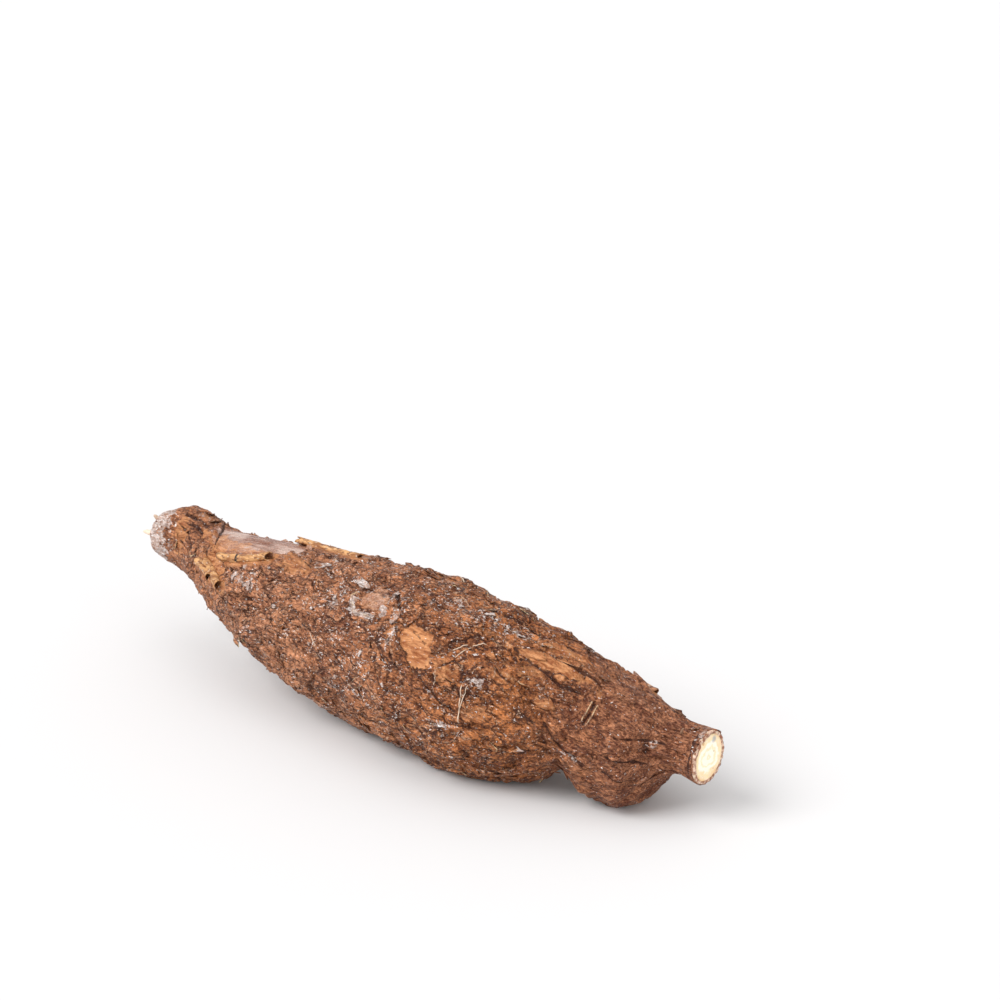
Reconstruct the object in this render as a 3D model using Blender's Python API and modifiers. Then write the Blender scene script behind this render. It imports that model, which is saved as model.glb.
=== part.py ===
"""Cassava root, lying as it rests: one grown piece with scaly bark, bark curls, rootlets and a cut neck.

X runs along the root, from the thin tip to the cut neck, +Z is up, and the origin is on the floor under the
middle of the root. Sizes are written in millimetres, and MM turns them into Blender's metres. An angle goes
round the root in degrees: 0 is the back (+Y), 90 the top, 180 the front and 270 the underside.
"""

import math
import random
from collections import namedtuple

import bmesh
import bpy
from mathutils import Matrix, Vector, noise

MM = 0.001
NODE_NAME = "cassava_root"
SEED = 5

# Cross-sections of the smooth root: centre line (x, y, z), then half sizes to the side, up and down.
Section = namedtuple("Section", "x y z side up down")
SECTIONS = [
    Section(-147.0, 17.0, 50.5, 10.5, 11.0, 11.5),  # blunt end of the tip
    Section(-138.0, 20.0, 50.0, 13.5, 15.0, 13.5),  # knob behind it
    Section(-125.0, 18.0, 48.5, 15.0, 15.5, 15.0),
    Section(-110.5, 13.0, 47.0, 17.5, 16.5, 17.0),  # smooth waist
    Section(-77.0, 4.5, 44.0, 25.5, 24.0, 25.0),
    Section(-47.0, 5.0, 39.5, 31.0, 30.0, 31.0),
    Section(-18.0, 6.0, 36.5, 35.5, 34.0, 37.0),
    Section(21.0, 1.8, 36.5, 38.0, 37.0, 38.5),  # belly
    Section(57.0, -4.0, 35.5, 36.5, 35.5, 37.5),
    Section(83.0, -1.5, 32.5, 32.0, 33.0, 30.0),
    Section(100.5, 1.5, 31.0, 27.0, 29.5, 22.0),  # pinch between belly and bulge
    Section(119.0, 7.3, 25.8, 25.0, 24.7, 27.6),  # bulge under the neck
    Section(133.0, 5.0, 26.5, 21.5, 19.5, 23.5),
    Section(146.0, 9.5, 29.5, 11.8, 10.8, 10.6),  # neck
    Section(160.0, 9.5, 29.0, 11.4, 11.2, 11.4),  # cut
]
TIP_ROUNDING = 5.0  # length over which the tip closes

# Mesh of the trunk: columns round it, rows over the tip, the length and the cut.
COLUMNS = 42
TIP_ROWS = 5
ROW_SPACING = 4.1
RIND_THICKNESS = 1.7
FLESH_STANDS_OUT = 0.7
CUT_RINGS = (0.55, 0.25)  # radii of the flesh's inner rings, as shares of the flesh's radius
RIM_RAGGEDNESS = 1.3

# Long folds in the root: points (x, angle), depth and half width.
Fold = namedtuple("Fold", "points depth half_width")
FOLDS = [
    Fold([(83, 128), (91, 140), (102, 163), (106, 205), (104, 235), (101, 270), (96, 305)], 3.8, 4.0),
    Fold([(134, 138), (138, 150), (142, 172), (144, 195), (146, 225)], 1.8, 3.0),
    Fold([(-45, 330), (-20, 345), (10, 352), (40, 345)], 2.0, 5.0),
    Fold([(60, 20), (78, 30), (96, 28), (112, 15)], 2.2, 4.5),
]

# Places where the bark is gone: middle (x, angle), half length along, half width round, and depth. It is also
# gone under each curl.
BarePatch = namedtuple("BarePatch", "x angle half_length half_width depth")
BARE_PATCHES = [
    BarePatch(-80, 86, 31, 16.0, 1.3),  # smooth skin on top of the waist
    BarePatch(-91, 146, 9, 6.0, 1.0),
    BarePatch(42, 144, 10, 7.5, 1.2),  # patch on the front of the belly
    BarePatch(95, 111, 13, 4.5, 0.9),
    BarePatch(8, 120, 6, 5.5, 0.8),  # round scar
    BarePatch(20, 352, 13, 7.0, 1.1),
    BarePatch(-52, 30, 9, 6.0, 1.0),
]
PATCH_EDGE = 0.16  # width of a patch's edge, as a share of its half size

# Bark relief on the solid.
SCALE_LONG, SCALE_WIDE = 17.0, 13.0
SCALE_HEIGHT = 2.5
GRAIN_SIZE, GRAIN_HEIGHT = 4.6, 1.1
SWELL_SIZE, SWELL_HEIGHT = 34.0, 1.0
RIDGE_COUNT, RIDGE_HEIGHT, RIDGES_FROM = 17, 0.6, 122.0

# Loose bark: where a curl starts and ends (x, angle), its roll radius, how much of a turn it rolls, how far
# each end lifts off, and its thickness.
Curl = namedtuple("Curl", "start end radius turn lift_start lift_end thickness")
CURLS = [
    Curl((-87, 133), (-60, 114), 2.0, 300, 0.4, 1.0, 0.8),
    Curl((-104, 154), (-91, 161), 1.9, 260, 0.9, 0.4, 0.8),
    Curl((-99, 149), (-80, 160), 2.0, 250, 0.4, 1.2, 0.8),
    Curl((-61, 71), (-24, 81), 2.2, 210, 1.7, 0.2, 0.9),
    Curl((66, 42), (92, 36), 1.9, 230, 1.0, 0.5, 0.8),
    Curl((10, 20), (36, 12), 2.4, 220, 1.2, 0.4, 0.8),
    Curl((-40, 356), (-22, 5), 2.0, 240, 0.5, 1.3, 0.8),
    Curl((112, 40), (126, 52), 1.8, 220, 0.9, 0.4, 0.8),
]
CURL_STEPS, CURL_SIDES = 5, 6
CURL_SAG = 1.1  # how much lower a curl's middle lies than its ends
CURL_BITE = 0.9  # how deep its edges reach into the root there

# Rootlets: where one grows (x, angle), its length, its radius at the root, and how it leans along X.
Rootlet = namedtuple("Rootlet", "x angle length radius lean")
ROOTLETS = [
    Rootlet(-151.3, 170, 6.0, 1.9, 0.0),
    Rootlet(-148.5, 120, 2.0, 1.4, 0.0),
    Rootlet(-121.0, 250, 5.0, 0.9, 0.5),
    Rootlet(-30.0, 322, 6.0, 0.9, -0.6),
    Rootlet(74.0, 338, 5.0, 0.9, 0.7),
    Rootlet(150.5, 118, 4.0, 0.9, 1.1),
]
ROOTLET_SIDES = 6

# Plates of bark, sunk in at one end: where (x, angle), length, width, how far the free end stands off, and
# the heading of that end, in degrees from +X.
Plate = namedtuple("Plate", "x angle length width lift heading")
PLATES = [
    Plate(-74.0, 214, 8.0, 8.0, 1.6, -75),  # hangs below the waist
    Plate(3.0, 109, 9.0, 8.0, 1.2, 180),  # above the round scar
    Plate(86.0, 196, 10.0, 7.0, 1.4, 20),  # rim of the fold
    Plate(98.0, 92, 12.0, 8.0, 2.2, 170),  # crest over the fold
]
# More plates all round, placed by a seeded draw.
PLATE_COUNT = 38
PLATES_FROM, PLATES_TO = -104.0, 128.0
PLATE_LENGTH, PLATE_WIDTH, PLATE_LIFT = (7.0, 13.0), (5.0, 9.0), (0.5, 1.5)
PLATE_DEPTH = 6.5
PLATE_FREE_UNDERSIDE = (232.0, 308.0)  # no plates between these angles, where the root lies on the floor
SUNK = 1.4  # how deep loose bark and rootlets reach into the trunk


def smooth_between(xs, values, x):
    """Cubic curve through the values, with each slope taken from the two neighbours."""
    x = min(max(x, xs[0]), xs[-1])
    last = len(xs) - 1
    i = next(k for k in range(last) if x <= xs[k + 1])

    def slope(k):
        low, high = max(k - 1, 0), min(k + 1, last)
        return (values[high] - values[low]) / (xs[high] - xs[low])

    width = xs[i + 1] - xs[i]
    t = (x - xs[i]) / width
    return (
        (2 * t**3 - 3 * t**2 + 1) * values[i]
        + (t**3 - 2 * t**2 + t) * width * slope(i)
        + (3 * t**2 - 2 * t**3) * values[i + 1]
        + (t**3 - t**2) * width * slope(i + 1)
    )


def smooth_step(low, high, value):
    t = min(max((value - low) / (high - low), 0.0), 1.0)
    return t * t * (3 - 2 * t)


def turn_between(a, b):
    """The smallest turn from angle a to angle b, in degrees, with its sign."""
    return (b - a + 180.0) % 360.0 - 180.0


def section_at(x):
    xs = [s.x for s in SECTIONS]
    return Section(x, *(smooth_between(xs, [s[k] for s in SECTIONS], x) for k in range(1, 6)))


def trunk_point(x, angle, size=1.0):
    """A point of the smooth root, or of a ring inside it where size is under 1."""
    s = section_at(x)
    a = math.radians(angle)
    tall = s.up if math.sin(a) >= 0 else s.down
    if x < SECTIONS[0].x:
        size *= math.sqrt(max(0.0, 1.0 - ((SECTIONS[0].x - x) / TIP_ROUNDING) ** 2))
    return Vector((x, s.y + s.side * size * math.cos(a), s.z + tall * size * math.sin(a)))


def trunk_normal(x, angle):
    """Outward direction of the smooth root, from two short steps along and round it."""
    step = 0.5
    low = max(x - step, SECTIONS[0].x - TIP_ROUNDING * 0.9)
    high = min(x + step, SECTIONS[-1].x)
    along = trunk_point(high, angle) - trunk_point(low, angle)
    around = trunk_point(x, angle + 2) - trunk_point(x, angle - 2)
    return around.cross(along).normalized()


def distance_to_line(points, x, angle, radius):
    """Distance over the surface to a line of points, and how far along it the nearest place is, 0 to 1."""
    best, where = 1e9, 0.0
    legs = len(points) - 1
    for i in range(legs):
        (x0, a0), (x1, a1) = points[i], points[i + 1]
        arc = math.radians(radius)
        leg = Vector((x1 - x0, turn_between(a0, a1) * arc))
        here = Vector((x - x0, turn_between(a0, angle) * arc))
        t = min(max(here.dot(leg) / leg.length_squared, 0.0), 1.0)
        away = (here - leg * t).length
        if away < best:
            best, where = away, (i + t) / legs
    return best, where


def fold_depth(x, angle, radius):
    total = 0.0
    for fold in FOLDS:
        away, where = distance_to_line(fold.points, x, angle, radius)
        if away < 3 * fold.half_width:
            fade = smooth_step(0.0, 0.22, where) * smooth_step(0.0, 0.22, 1.0 - where)
            total += fold.depth * fade * math.exp(-((away / fold.half_width) ** 2))
    return total


def bareness(x, angle, radius):
    """(share of the bark that is gone, depth of the bare place) at a place on the root."""
    most, depth = 0.0, 0.0
    for patch in BARE_PATCHES:
        along = (x - patch.x) / patch.half_length
        around = math.radians(turn_between(patch.angle, angle)) * radius / patch.half_width
        wobble = 0.22 * noise.noise(Vector((x, angle * 0.5, patch.x)) / 5.0)
        share = 1.0 - smooth_step(1.0 - PATCH_EDGE, 1.0 + PATCH_EDGE, math.hypot(along, around) + wobble)
        if share > most:
            most, depth = share, patch.depth
    for curl in CURLS:
        away, _ = distance_to_line([curl.start, curl.end], x, angle, radius)
        share = 1.0 - smooth_step(curl.radius + 1.0, curl.radius + 4.0, away)
        if share > most:
            most, depth = share, 0.0
    return most, depth


def scale_relief(point):
    """Height of the bark's scales: each has its own level, one lifted side and a crack round it."""
    warp = noise.noise_vector(point / 9.0) * 3.0
    place = point + warp
    cell = Vector((place.x / SCALE_LONG, place.y / SCALE_WIDE, place.z / SCALE_WIDE))
    distances, centres = noise.voronoi(cell)
    crack = smooth_step(0.0, 0.42, distances[1] - distances[0])
    level = noise.cell(centres[0] * 7.3)
    lifted = (cell - centres[0]).dot(Vector((0.7, 0.3, -0.5)))
    return SCALE_HEIGHT * (0.55 * crack + 0.45 * level + 0.7 * lifted * crack - 0.6)


def bark_height(x, angle):
    """How far the root's surface stands off the smooth trunk."""
    s = section_at(x)
    radius = (s.side + s.up + s.down) / 3
    point = trunk_point(x, angle)
    bare, depth = bareness(x, angle, radius)
    slender = smooth_step(9.0, 26.0, radius)
    ridges = smooth_step(RIDGES_FROM, RIDGES_FROM + 20, x)
    scales = scale_relief(point) + GRAIN_HEIGHT * noise.noise(point / GRAIN_SIZE)
    scales *= (0.45 + 0.55 * slender) * (1 - 0.6 * ridges)
    wave = math.sin(math.radians(angle) * RIDGE_COUNT + 2.5 * noise.noise(point / 6.0))
    height = (1 - bare) * (scales + ridges * RIDGE_HEIGHT * wave) - bare * depth
    height += SWELL_HEIGHT * slender * noise.noise(point / SWELL_SIZE)
    return height - fold_depth(x, angle, radius)


def surface_point(x, angle):
    """A point of the finished surface, which is flat where the root rests on the floor."""
    point = trunk_point(x, angle) + trunk_normal(x, angle) * bark_height(x, angle)
    point.z = max(point.z, 0.0)
    return point


def cut_point(angle, share, stands_out):
    """A point of the cut face, at a share of the neck's radius."""
    point = trunk_point(SECTIONS[-1].x, angle, share)
    point.x += stands_out
    return point


def trunk_rows():
    """One function of the angle for each row of the trunk's mesh, from the tip to the cut face's middle."""
    rows = [lambda angle: trunk_point(SECTIONS[0].x - TIP_ROUNDING, angle)]
    for k in range(1, TIP_ROWS):
        x = SECTIONS[0].x - TIP_ROUNDING * math.cos(math.radians(90 * k / TIP_ROWS))
        rows.append(lambda angle, x=x: surface_point(x, angle))
    length = SECTIONS[-1].x - SECTIONS[0].x
    steps = round(length / ROW_SPACING)
    for k in range(steps):
        x = SECTIONS[0].x + length * k / steps
        rows.append(lambda angle, x=x: surface_point(x, angle))
    neck = SECTIONS[-1]
    flesh = 1.0 - RIND_THICKNESS / neck.side

    def rim(angle):
        point = surface_point(neck.x, angle)
        point.x += RIM_RAGGEDNESS * noise.noise(point / 3.0)
        return point

    rows.append(rim)
    rows.append(lambda angle: cut_point(angle, flesh + 0.04, -0.5))
    rows.append(lambda angle: cut_point(angle, flesh, FLESH_STANDS_OUT))
    for share in CUT_RINGS:
        rows.append(lambda angle, share=share: cut_point(angle, flesh * share, FLESH_STANDS_OUT))
    rows.append(lambda angle: cut_point(angle, 0.0, FLESH_STANDS_OUT))
    return rows


def make_material(name, colour, roughness):
    material = bpy.data.materials.new(name)
    material.use_nodes = True
    shader = material.node_tree.nodes["Principled BSDF"]
    shader.inputs["Base Color"].default_value = (*colour, 1.0)
    shader.inputs["Roughness"].default_value = roughness
    shader.inputs["Metallic"].default_value = 0.0
    material.diffuse_color = (*colour, 1.0)
    return material


def object_from(bm, name, collection):
    mesh = bpy.data.meshes.new(name)
    bm.to_mesh(mesh)
    bm.free()
    made = bpy.data.objects.new(name, mesh)
    collection.objects.link(made)
    return made


def make_trunk(collection, bark, flesh):
    """The whole root as one closed skin: a sphere's grid, with each row laid on its ring of the root."""
    rows = trunk_rows()
    last = len(rows) - 1
    bm = bmesh.new()
    bmesh.ops.create_uvsphere(bm, u_segments=COLUMNS, v_segments=last, radius=1.0)
    row_of = {}
    for vertex in bm.verts:
        row = round(math.acos(max(-1.0, min(1.0, vertex.co.z))) / math.pi * last)
        row_of[vertex.index] = row
        angle = math.degrees(math.atan2(vertex.co.y, vertex.co.x)) % 360.0
        vertex.co = rows[row](angle) * MM
    bm.verts.ensure_lookup_table()
    first_flesh_row = last - len(CUT_RINGS) - 2
    for face in bm.faces:
        face.material_index = 1 if min(row_of[v.index] for v in face.verts) >= first_flesh_row else 0
    bmesh.ops.recalc_face_normals(bm, faces=bm.faces)
    trunk = object_from(bm, NODE_NAME, collection)
    trunk.data.materials.append(bark)
    trunk.data.materials.append(flesh)
    trunk.data.shade_smooth()
    trunk.data.set_sharp_from_angle(angle=math.radians(50))
    return trunk


def thickened(bm, thickness, offset, name, collection):
    """A sheet in millimetres, made a closed body in metres. At offset -1 all the thickness is inwards."""
    bmesh.ops.scale(bm, vec=(MM, MM, MM), verts=bm.verts)
    made = object_from(bm, name, collection)
    solidify = made.modifiers.new("thickness", "SOLIDIFY")
    solidify.thickness = thickness * MM
    solidify.offset = offset
    return made


def make_curl(curl, number, collection):
    """A strip of loose bark rolled round its own length, lying on the root with its ends lifted."""
    bm = bmesh.new()
    half_turn = math.radians(curl.turn) / 2
    bmesh.ops.create_grid(bm, x_segments=CURL_STEPS, y_segments=CURL_SIDES, size=1.0)
    for vertex in bm.verts:
        t = (vertex.co.x + 1) / 2
        x = curl.start[0] + (curl.end[0] - curl.start[0]) * t
        angle = curl.start[1] + turn_between(curl.start[1], curl.end[1]) * t
        normal = trunk_normal(x, angle)
        along = trunk_point(curl.end[0], curl.end[1]) - trunk_point(curl.start[0], curl.start[1])
        across = normal.cross(along).normalized()
        lift = curl.lift_start + (curl.lift_end - curl.lift_start) * t - 4 * t * (1 - t) * CURL_SAG
        half_open = math.cos(min(half_turn, math.pi))
        middle = surface_point(x, angle) + normal * (lift - curl.radius * half_open - CURL_BITE)
        roll = vertex.co.y * half_turn
        radius = curl.radius * (1.0 + 0.12 * math.sin(9.0 * t + number))
        vertex.co = middle + (normal * math.cos(roll) + across * math.sin(roll)) * radius
    return thickened(bm, curl.thickness, 0.0, f"curl_{number}", collection)


def make_plate(plate, name, collection):
    """A plate of bark: one end sunk in the trunk, the other standing off it, its sides turned up."""
    bm = bmesh.new()
    bmesh.ops.create_grid(bm, x_segments=2, y_segments=2, size=1.0)
    normal = trunk_normal(plate.x, plate.angle)
    along = (trunk_point(plate.x + 1, plate.angle) - trunk_point(plate.x - 1, plate.angle)).normalized()
    across = normal.cross(along)
    heading = math.radians(plate.heading)
    forward = along * math.cos(heading) + across * math.sin(heading)
    sideways = normal.cross(forward)
    base = surface_point(plate.x, plate.angle)
    for vertex in bm.verts:
        t = (vertex.co.x + 1) / 2
        edge = abs(vertex.co.y)
        reach = plate.length * t * (1.0 - 0.28 * edge)
        side = vertex.co.y * plate.width / 2 * (1.0 - 1.2 * (t - 0.45) ** 2)
        height = -SUNK + (SUNK + plate.lift) * t + 0.3 * edge
        vertex.co = base + forward * reach + sideways * side + normal * height
    return thickened(bm, PLATE_DEPTH, -1.0, name, collection)


def scatter_plates(collection):
    draw = random.Random(SEED)
    placed = 0
    while placed < PLATE_COUNT:
        x = draw.uniform(PLATES_FROM, PLATES_TO)
        angle = draw.uniform(0.0, 360.0)
        sizes = draw.uniform(*PLATE_LENGTH), draw.uniform(*PLATE_WIDTH), draw.uniform(*PLATE_LIFT)
        heading = draw.uniform(-50, 50) + draw.choice((0, 180))
        s = section_at(x)
        radius = (s.side + s.up + s.down) / 3
        on_underside = PLATE_FREE_UNDERSIDE[0] < angle < PLATE_FREE_UNDERSIDE[1]
        if on_underside or bareness(x, angle, radius)[0] > 0.0:
            continue
        make_plate(Plate(x, angle, *sizes, heading), f"scattered_{placed}", collection)
        placed += 1


def make_rootlet(rootlet, number, collection):
    """A thin tapering rootlet that bends along the root as it leaves it."""
    normal = trunk_normal(rootlet.x, rootlet.angle)
    base = surface_point(rootlet.x, rootlet.angle) - normal * SUNK
    bm = bmesh.new()
    bmesh.ops.create_cone(
        bm, cap_ends=True, segments=ROOTLET_SIDES, radius1=1.0, radius2=0.45, depth=1.0,
        matrix=Matrix.Translation((0, 0, 0.5)),
    )
    long_edges = [e for e in bm.edges if abs(e.verts[0].co.z - e.verts[1].co.z) > 0.5]
    bmesh.ops.subdivide_edges(bm, edges=long_edges, cuts=2)
    side = normal.cross(Vector((1, 0, 0))).normalized()
    other = normal.cross(side)
    for vertex in bm.verts:
        t = vertex.co.z
        middle = base + normal * (t * (rootlet.length + SUNK))
        middle.x += rootlet.lean * rootlet.length * t * t / 2
        vertex.co = (middle + (side * vertex.co.x + other * vertex.co.y) * rootlet.radius) * MM
    bmesh.ops.recalc_face_normals(bm, faces=bm.faces)
    return object_from(bm, f"rootlet_{number}", collection)


def join_into(trunk, pieces):
    """Fuses every object of the collection into the trunk, and removes them."""
    union = trunk.modifiers.new("grown together", "BOOLEAN")
    union.operand_type = "COLLECTION"
    union.collection = pieces
    union.operation = "UNION"
    union.solver = "EXACT"
    bpy.context.view_layer.update()
    graph = bpy.context.evaluated_depsgraph_get()
    joined = bpy.data.meshes.new_from_object(trunk.evaluated_get(graph), depsgraph=graph)
    trunk.modifiers.clear()
    trunk.data = joined
    for piece in list(pieces.objects):
        bpy.data.objects.remove(piece)
    bpy.data.collections.remove(pieces)


def centre_over_origin(root):
    """Moves the root along the floor until the middle of its box is over the origin."""
    along = [vertex.co.x for vertex in root.data.vertices]
    across = [vertex.co.y for vertex in root.data.vertices]
    middle = Vector(((min(along) + max(along)) / 2, (min(across) + max(across)) / 2, 0.0))
    root.data.transform(Matrix.Translation(-middle))


def new_collection(name):
    made = bpy.data.collections.new(name)
    bpy.context.scene.collection.children.link(made)
    return made


def main():
    for old in list(bpy.data.objects):
        bpy.data.objects.remove(old)
    noise.seed_set(SEED)  # the vector noise is otherwise new at every run
    bark = make_material("bark", (0.26, 0.12, 0.055), 0.7)
    flesh = make_material("flesh", (0.86, 0.74, 0.50), 0.5)
    root = make_trunk(new_collection("Cassava root"), bark, flesh)
    loose = new_collection("Loose bark and rootlets")
    for number, curl in enumerate(CURLS):
        make_curl(curl, number, loose)
    for number, plate in enumerate(PLATES):
        make_plate(plate, f"plate_{number}", loose)
    scatter_plates(loose)
    for number, rootlet in enumerate(ROOTLETS):
        make_rootlet(rootlet, number, loose)
    join_into(root, loose)
    centre_over_origin(root)


main()
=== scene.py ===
"""Looks of the cassava root: layered bark, flakes and rolls of bark, rootlets, fibres and the cut flesh.

Sizes are written in millimetres, in the numbering of the root's sections: X runs along the root from its thin
tip to its cut neck, and an angle goes round it in degrees (0 is the back, 90 the top, 180 the front, 270 the
underside). ROOT_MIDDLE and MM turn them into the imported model's frame.
"""

import itertools
import math
from collections import namedtuple

import bmesh
import bpy
import numpy as np
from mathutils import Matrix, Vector, noise


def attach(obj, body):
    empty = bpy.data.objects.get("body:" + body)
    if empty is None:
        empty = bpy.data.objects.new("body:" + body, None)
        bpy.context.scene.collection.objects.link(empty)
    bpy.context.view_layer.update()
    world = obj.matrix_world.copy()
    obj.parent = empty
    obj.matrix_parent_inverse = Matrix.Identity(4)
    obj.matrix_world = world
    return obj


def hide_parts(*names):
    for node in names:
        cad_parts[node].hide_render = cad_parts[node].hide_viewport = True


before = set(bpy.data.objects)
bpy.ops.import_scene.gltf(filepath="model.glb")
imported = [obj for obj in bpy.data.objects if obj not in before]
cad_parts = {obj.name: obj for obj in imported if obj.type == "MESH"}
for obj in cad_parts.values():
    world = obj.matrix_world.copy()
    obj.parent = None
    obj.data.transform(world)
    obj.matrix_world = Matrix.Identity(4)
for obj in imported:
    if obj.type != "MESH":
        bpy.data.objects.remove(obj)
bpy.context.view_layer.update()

MM = 0.001
SEED = 5
ROOT_MIDDLE = np.array((2.208, 2.418, 0.0))  # middle of the root's box, which lies over the frame's origin

# Shape of the root, the same as in the CAD solid.
Section = namedtuple("Section", "x y z side up down")
SECTIONS = [
    Section(-147.0, 17.0, 50.5, 10.5, 11.0, 11.5),  # blunt end of the tip
    Section(-138.0, 20.0, 50.0, 13.5, 15.0, 13.5),  # knob behind it
    Section(-125.0, 18.0, 48.5, 15.0, 15.5, 15.0),
    Section(-110.5, 13.0, 47.0, 17.5, 16.5, 17.0),  # smooth waist
    Section(-77.0, 4.5, 44.0, 25.5, 24.0, 25.0),
    Section(-47.0, 5.0, 39.5, 31.0, 30.0, 31.0),
    Section(-18.0, 6.0, 36.5, 35.5, 34.0, 37.0),
    Section(21.0, 1.8, 36.5, 38.0, 37.0, 38.5),  # belly
    Section(57.0, -4.0, 35.5, 36.5, 35.5, 37.5),
    Section(83.0, -1.5, 32.5, 32.0, 33.0, 30.0),
    Section(100.5, 1.5, 31.0, 27.0, 29.5, 22.0),  # pinch between belly and bulge
    Section(119.0, 7.3, 25.8, 25.0, 24.7, 27.6),  # bulge under the neck
    Section(133.0, 5.0, 26.5, 21.5, 19.5, 23.5),
    Section(146.0, 9.5, 29.5, 11.8, 10.8, 10.6),  # neck
    Section(160.0, 9.5, 29.0, 11.4, 11.2, 11.4),  # cut
]
TIP, NECK = SECTIONS[0], SECTIONS[-1]
TIP_ROUNDING = 5.0  # length over which the tip closes

Fold = namedtuple("Fold", "points depth half_width")
FOLDS = [
    Fold([(83, 128), (91, 140), (102, 163), (106, 205), (104, 235), (101, 270), (96, 305)], 3.8, 4.0),
    Fold([(134, 138), (138, 150), (142, 172), (144, 195), (146, 225)], 1.8, 3.0),
    Fold([(-45, 330), (-20, 345), (10, 352), (40, 345)], 2.0, 5.0),
    Fold([(60, 20), (78, 30), (96, 28), (112, 15)], 2.2, 4.5),
]

# Places where the bark is gone, nearly as in the CAD solid: middle, half length along the root, half width
# round it, depth, and how much of the place is smooth mauve skin or tan under-bark.
BarePatch = namedtuple("BarePatch", "x angle half_length half_width depth skin tan")
BARE_PATCHES = [
    BarePatch(-80, 86, 31, 16.0, 1.3, 1.0, 0.0),  # smooth skin on top of the waist
    BarePatch(-91, 146, 9, 6.0, 1.0, 0.35, 0.9),
    BarePatch(40, 136, 9.5, 6.8, 1.2, 0.0, 1.0),  # bright patch on the front of the belly
    BarePatch(46, 145, 6.0, 6.0, 1.2, 0.0, 1.0),
    BarePatch(95, 111, 13, 4.5, 0.9, 0.0, 0.6),
    BarePatch(8, 121, 8, 7.5, 1.2, 0.52, 0.50),  # round scar
    BarePatch(20, 352, 13, 7.0, 1.1, 0.5, 0.35),
    BarePatch(-52, 30, 9, 6.0, 1.0, 0.4, 0.45),
]
PATCH_EDGE = 0.16  # width of a patch's edge, as a share of its half size
PATCH_REACH = 1.6  # the ragged edge stays inside this share of it

# The big scales of the bark, the grain on them, the swells of the whole root and the ridges of the neck.
SCALE_LONG, SCALE_WIDE = 17.0, 13.0
SCALE_HEIGHT = 1.7
SCALE_BEND_SIZE, SCALE_BEND = 9.0, 3.0  # how the scales' outlines wander
SCALE_LEAN = Vector((0.7, 0.3, -0.5))  # the way the scales rise
SCALE_SLOPE, SCALE_CRACK = 0.3, 0.07  # width of a scale's edge and of the crack beside it, in scales
GRAIN_SIZE, GRAIN_HEIGHT = 4.6, 0.77
SWELL_SIZE, SWELL_HEIGHT = 34.0, 1.0
RIDGE_COUNT, RIDGE_HEIGHT = 17, 0.6
RIDGES_FROM, RIDGES_FULL = 122.0, 142.0
RIDGES_FADE = (149.0, 157.0)  # they grow fainter towards the cut
SLENDER = (9.0, 26.0)  # radii between which the big relief grows to its full height
CUT_RIM_FROM, CUT_RIM_HEIGHT = 154.0, 0.35  # near the cut the bark settles to an even height

# Strips of loose bark, each rolled up round the line from start to end, and their lift off the surface.
Curl = namedtuple("Curl", "start end radius turn lift_start lift_end")
CURLS = [
    Curl((-87, 133), (-60, 114), 2.0, 300, 0.4, 1.0),
    Curl((-104, 154), (-91, 161), 1.9, 260, 0.9, 0.4),
    Curl((-99, 149), (-80, 160), 2.0, 250, 0.4, 1.2),
    Curl((-61, 71), (-24, 81), 2.2, 210, 1.7, 0.2),
    Curl((66, 42), (92, 36), 1.9, 230, 1.0, 0.5),
    Curl((10, 20), (36, 12), 2.4, 220, 1.2, 0.4),
    Curl((-40, 356), (-22, 5), 2.0, 240, 0.5, 1.3),
    Curl((112, 40), (126, 52), 1.8, 220, 0.9, 0.4),
]
CURL_SAG, CURL_BITE = 1.1, 0.9
CURL_THICKNESS = 0.5
ROLL_ALONG, ROLL_ACROSS = 30, 20  # points of a roll's sheet
# The crack across that curl is a real split, painted near-black as the shade in its gap.
SPLIT_CURL = 0  # number of the curl with a black crack across it
BROWN_CURLS = (4, 5, 6, 7)  # those at the back, which lie with their bark side out

Rootlet = namedtuple("Rootlet", "x angle length radius lean pale")
ROOTLETS = [
    Rootlet(-151.3, 170, 6.0, 1.9, 0.0, 1.0),
    Rootlet(-148.5, 120, 2.0, 1.4, 0.0, 0.5),
    Rootlet(-121.0, 250, 5.0, 0.9, 0.5, 0.1),
    Rootlet(-30.0, 322, 6.0, 0.9, -0.6, 0.1),
    Rootlet(74.0, 338, 5.0, 0.9, 0.7, 0.1),
    Rootlet(150.5, 118, 4.0, 0.9, 1.1, 0.1),
]
ROOTLET_SUNK = 1.4

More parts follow.
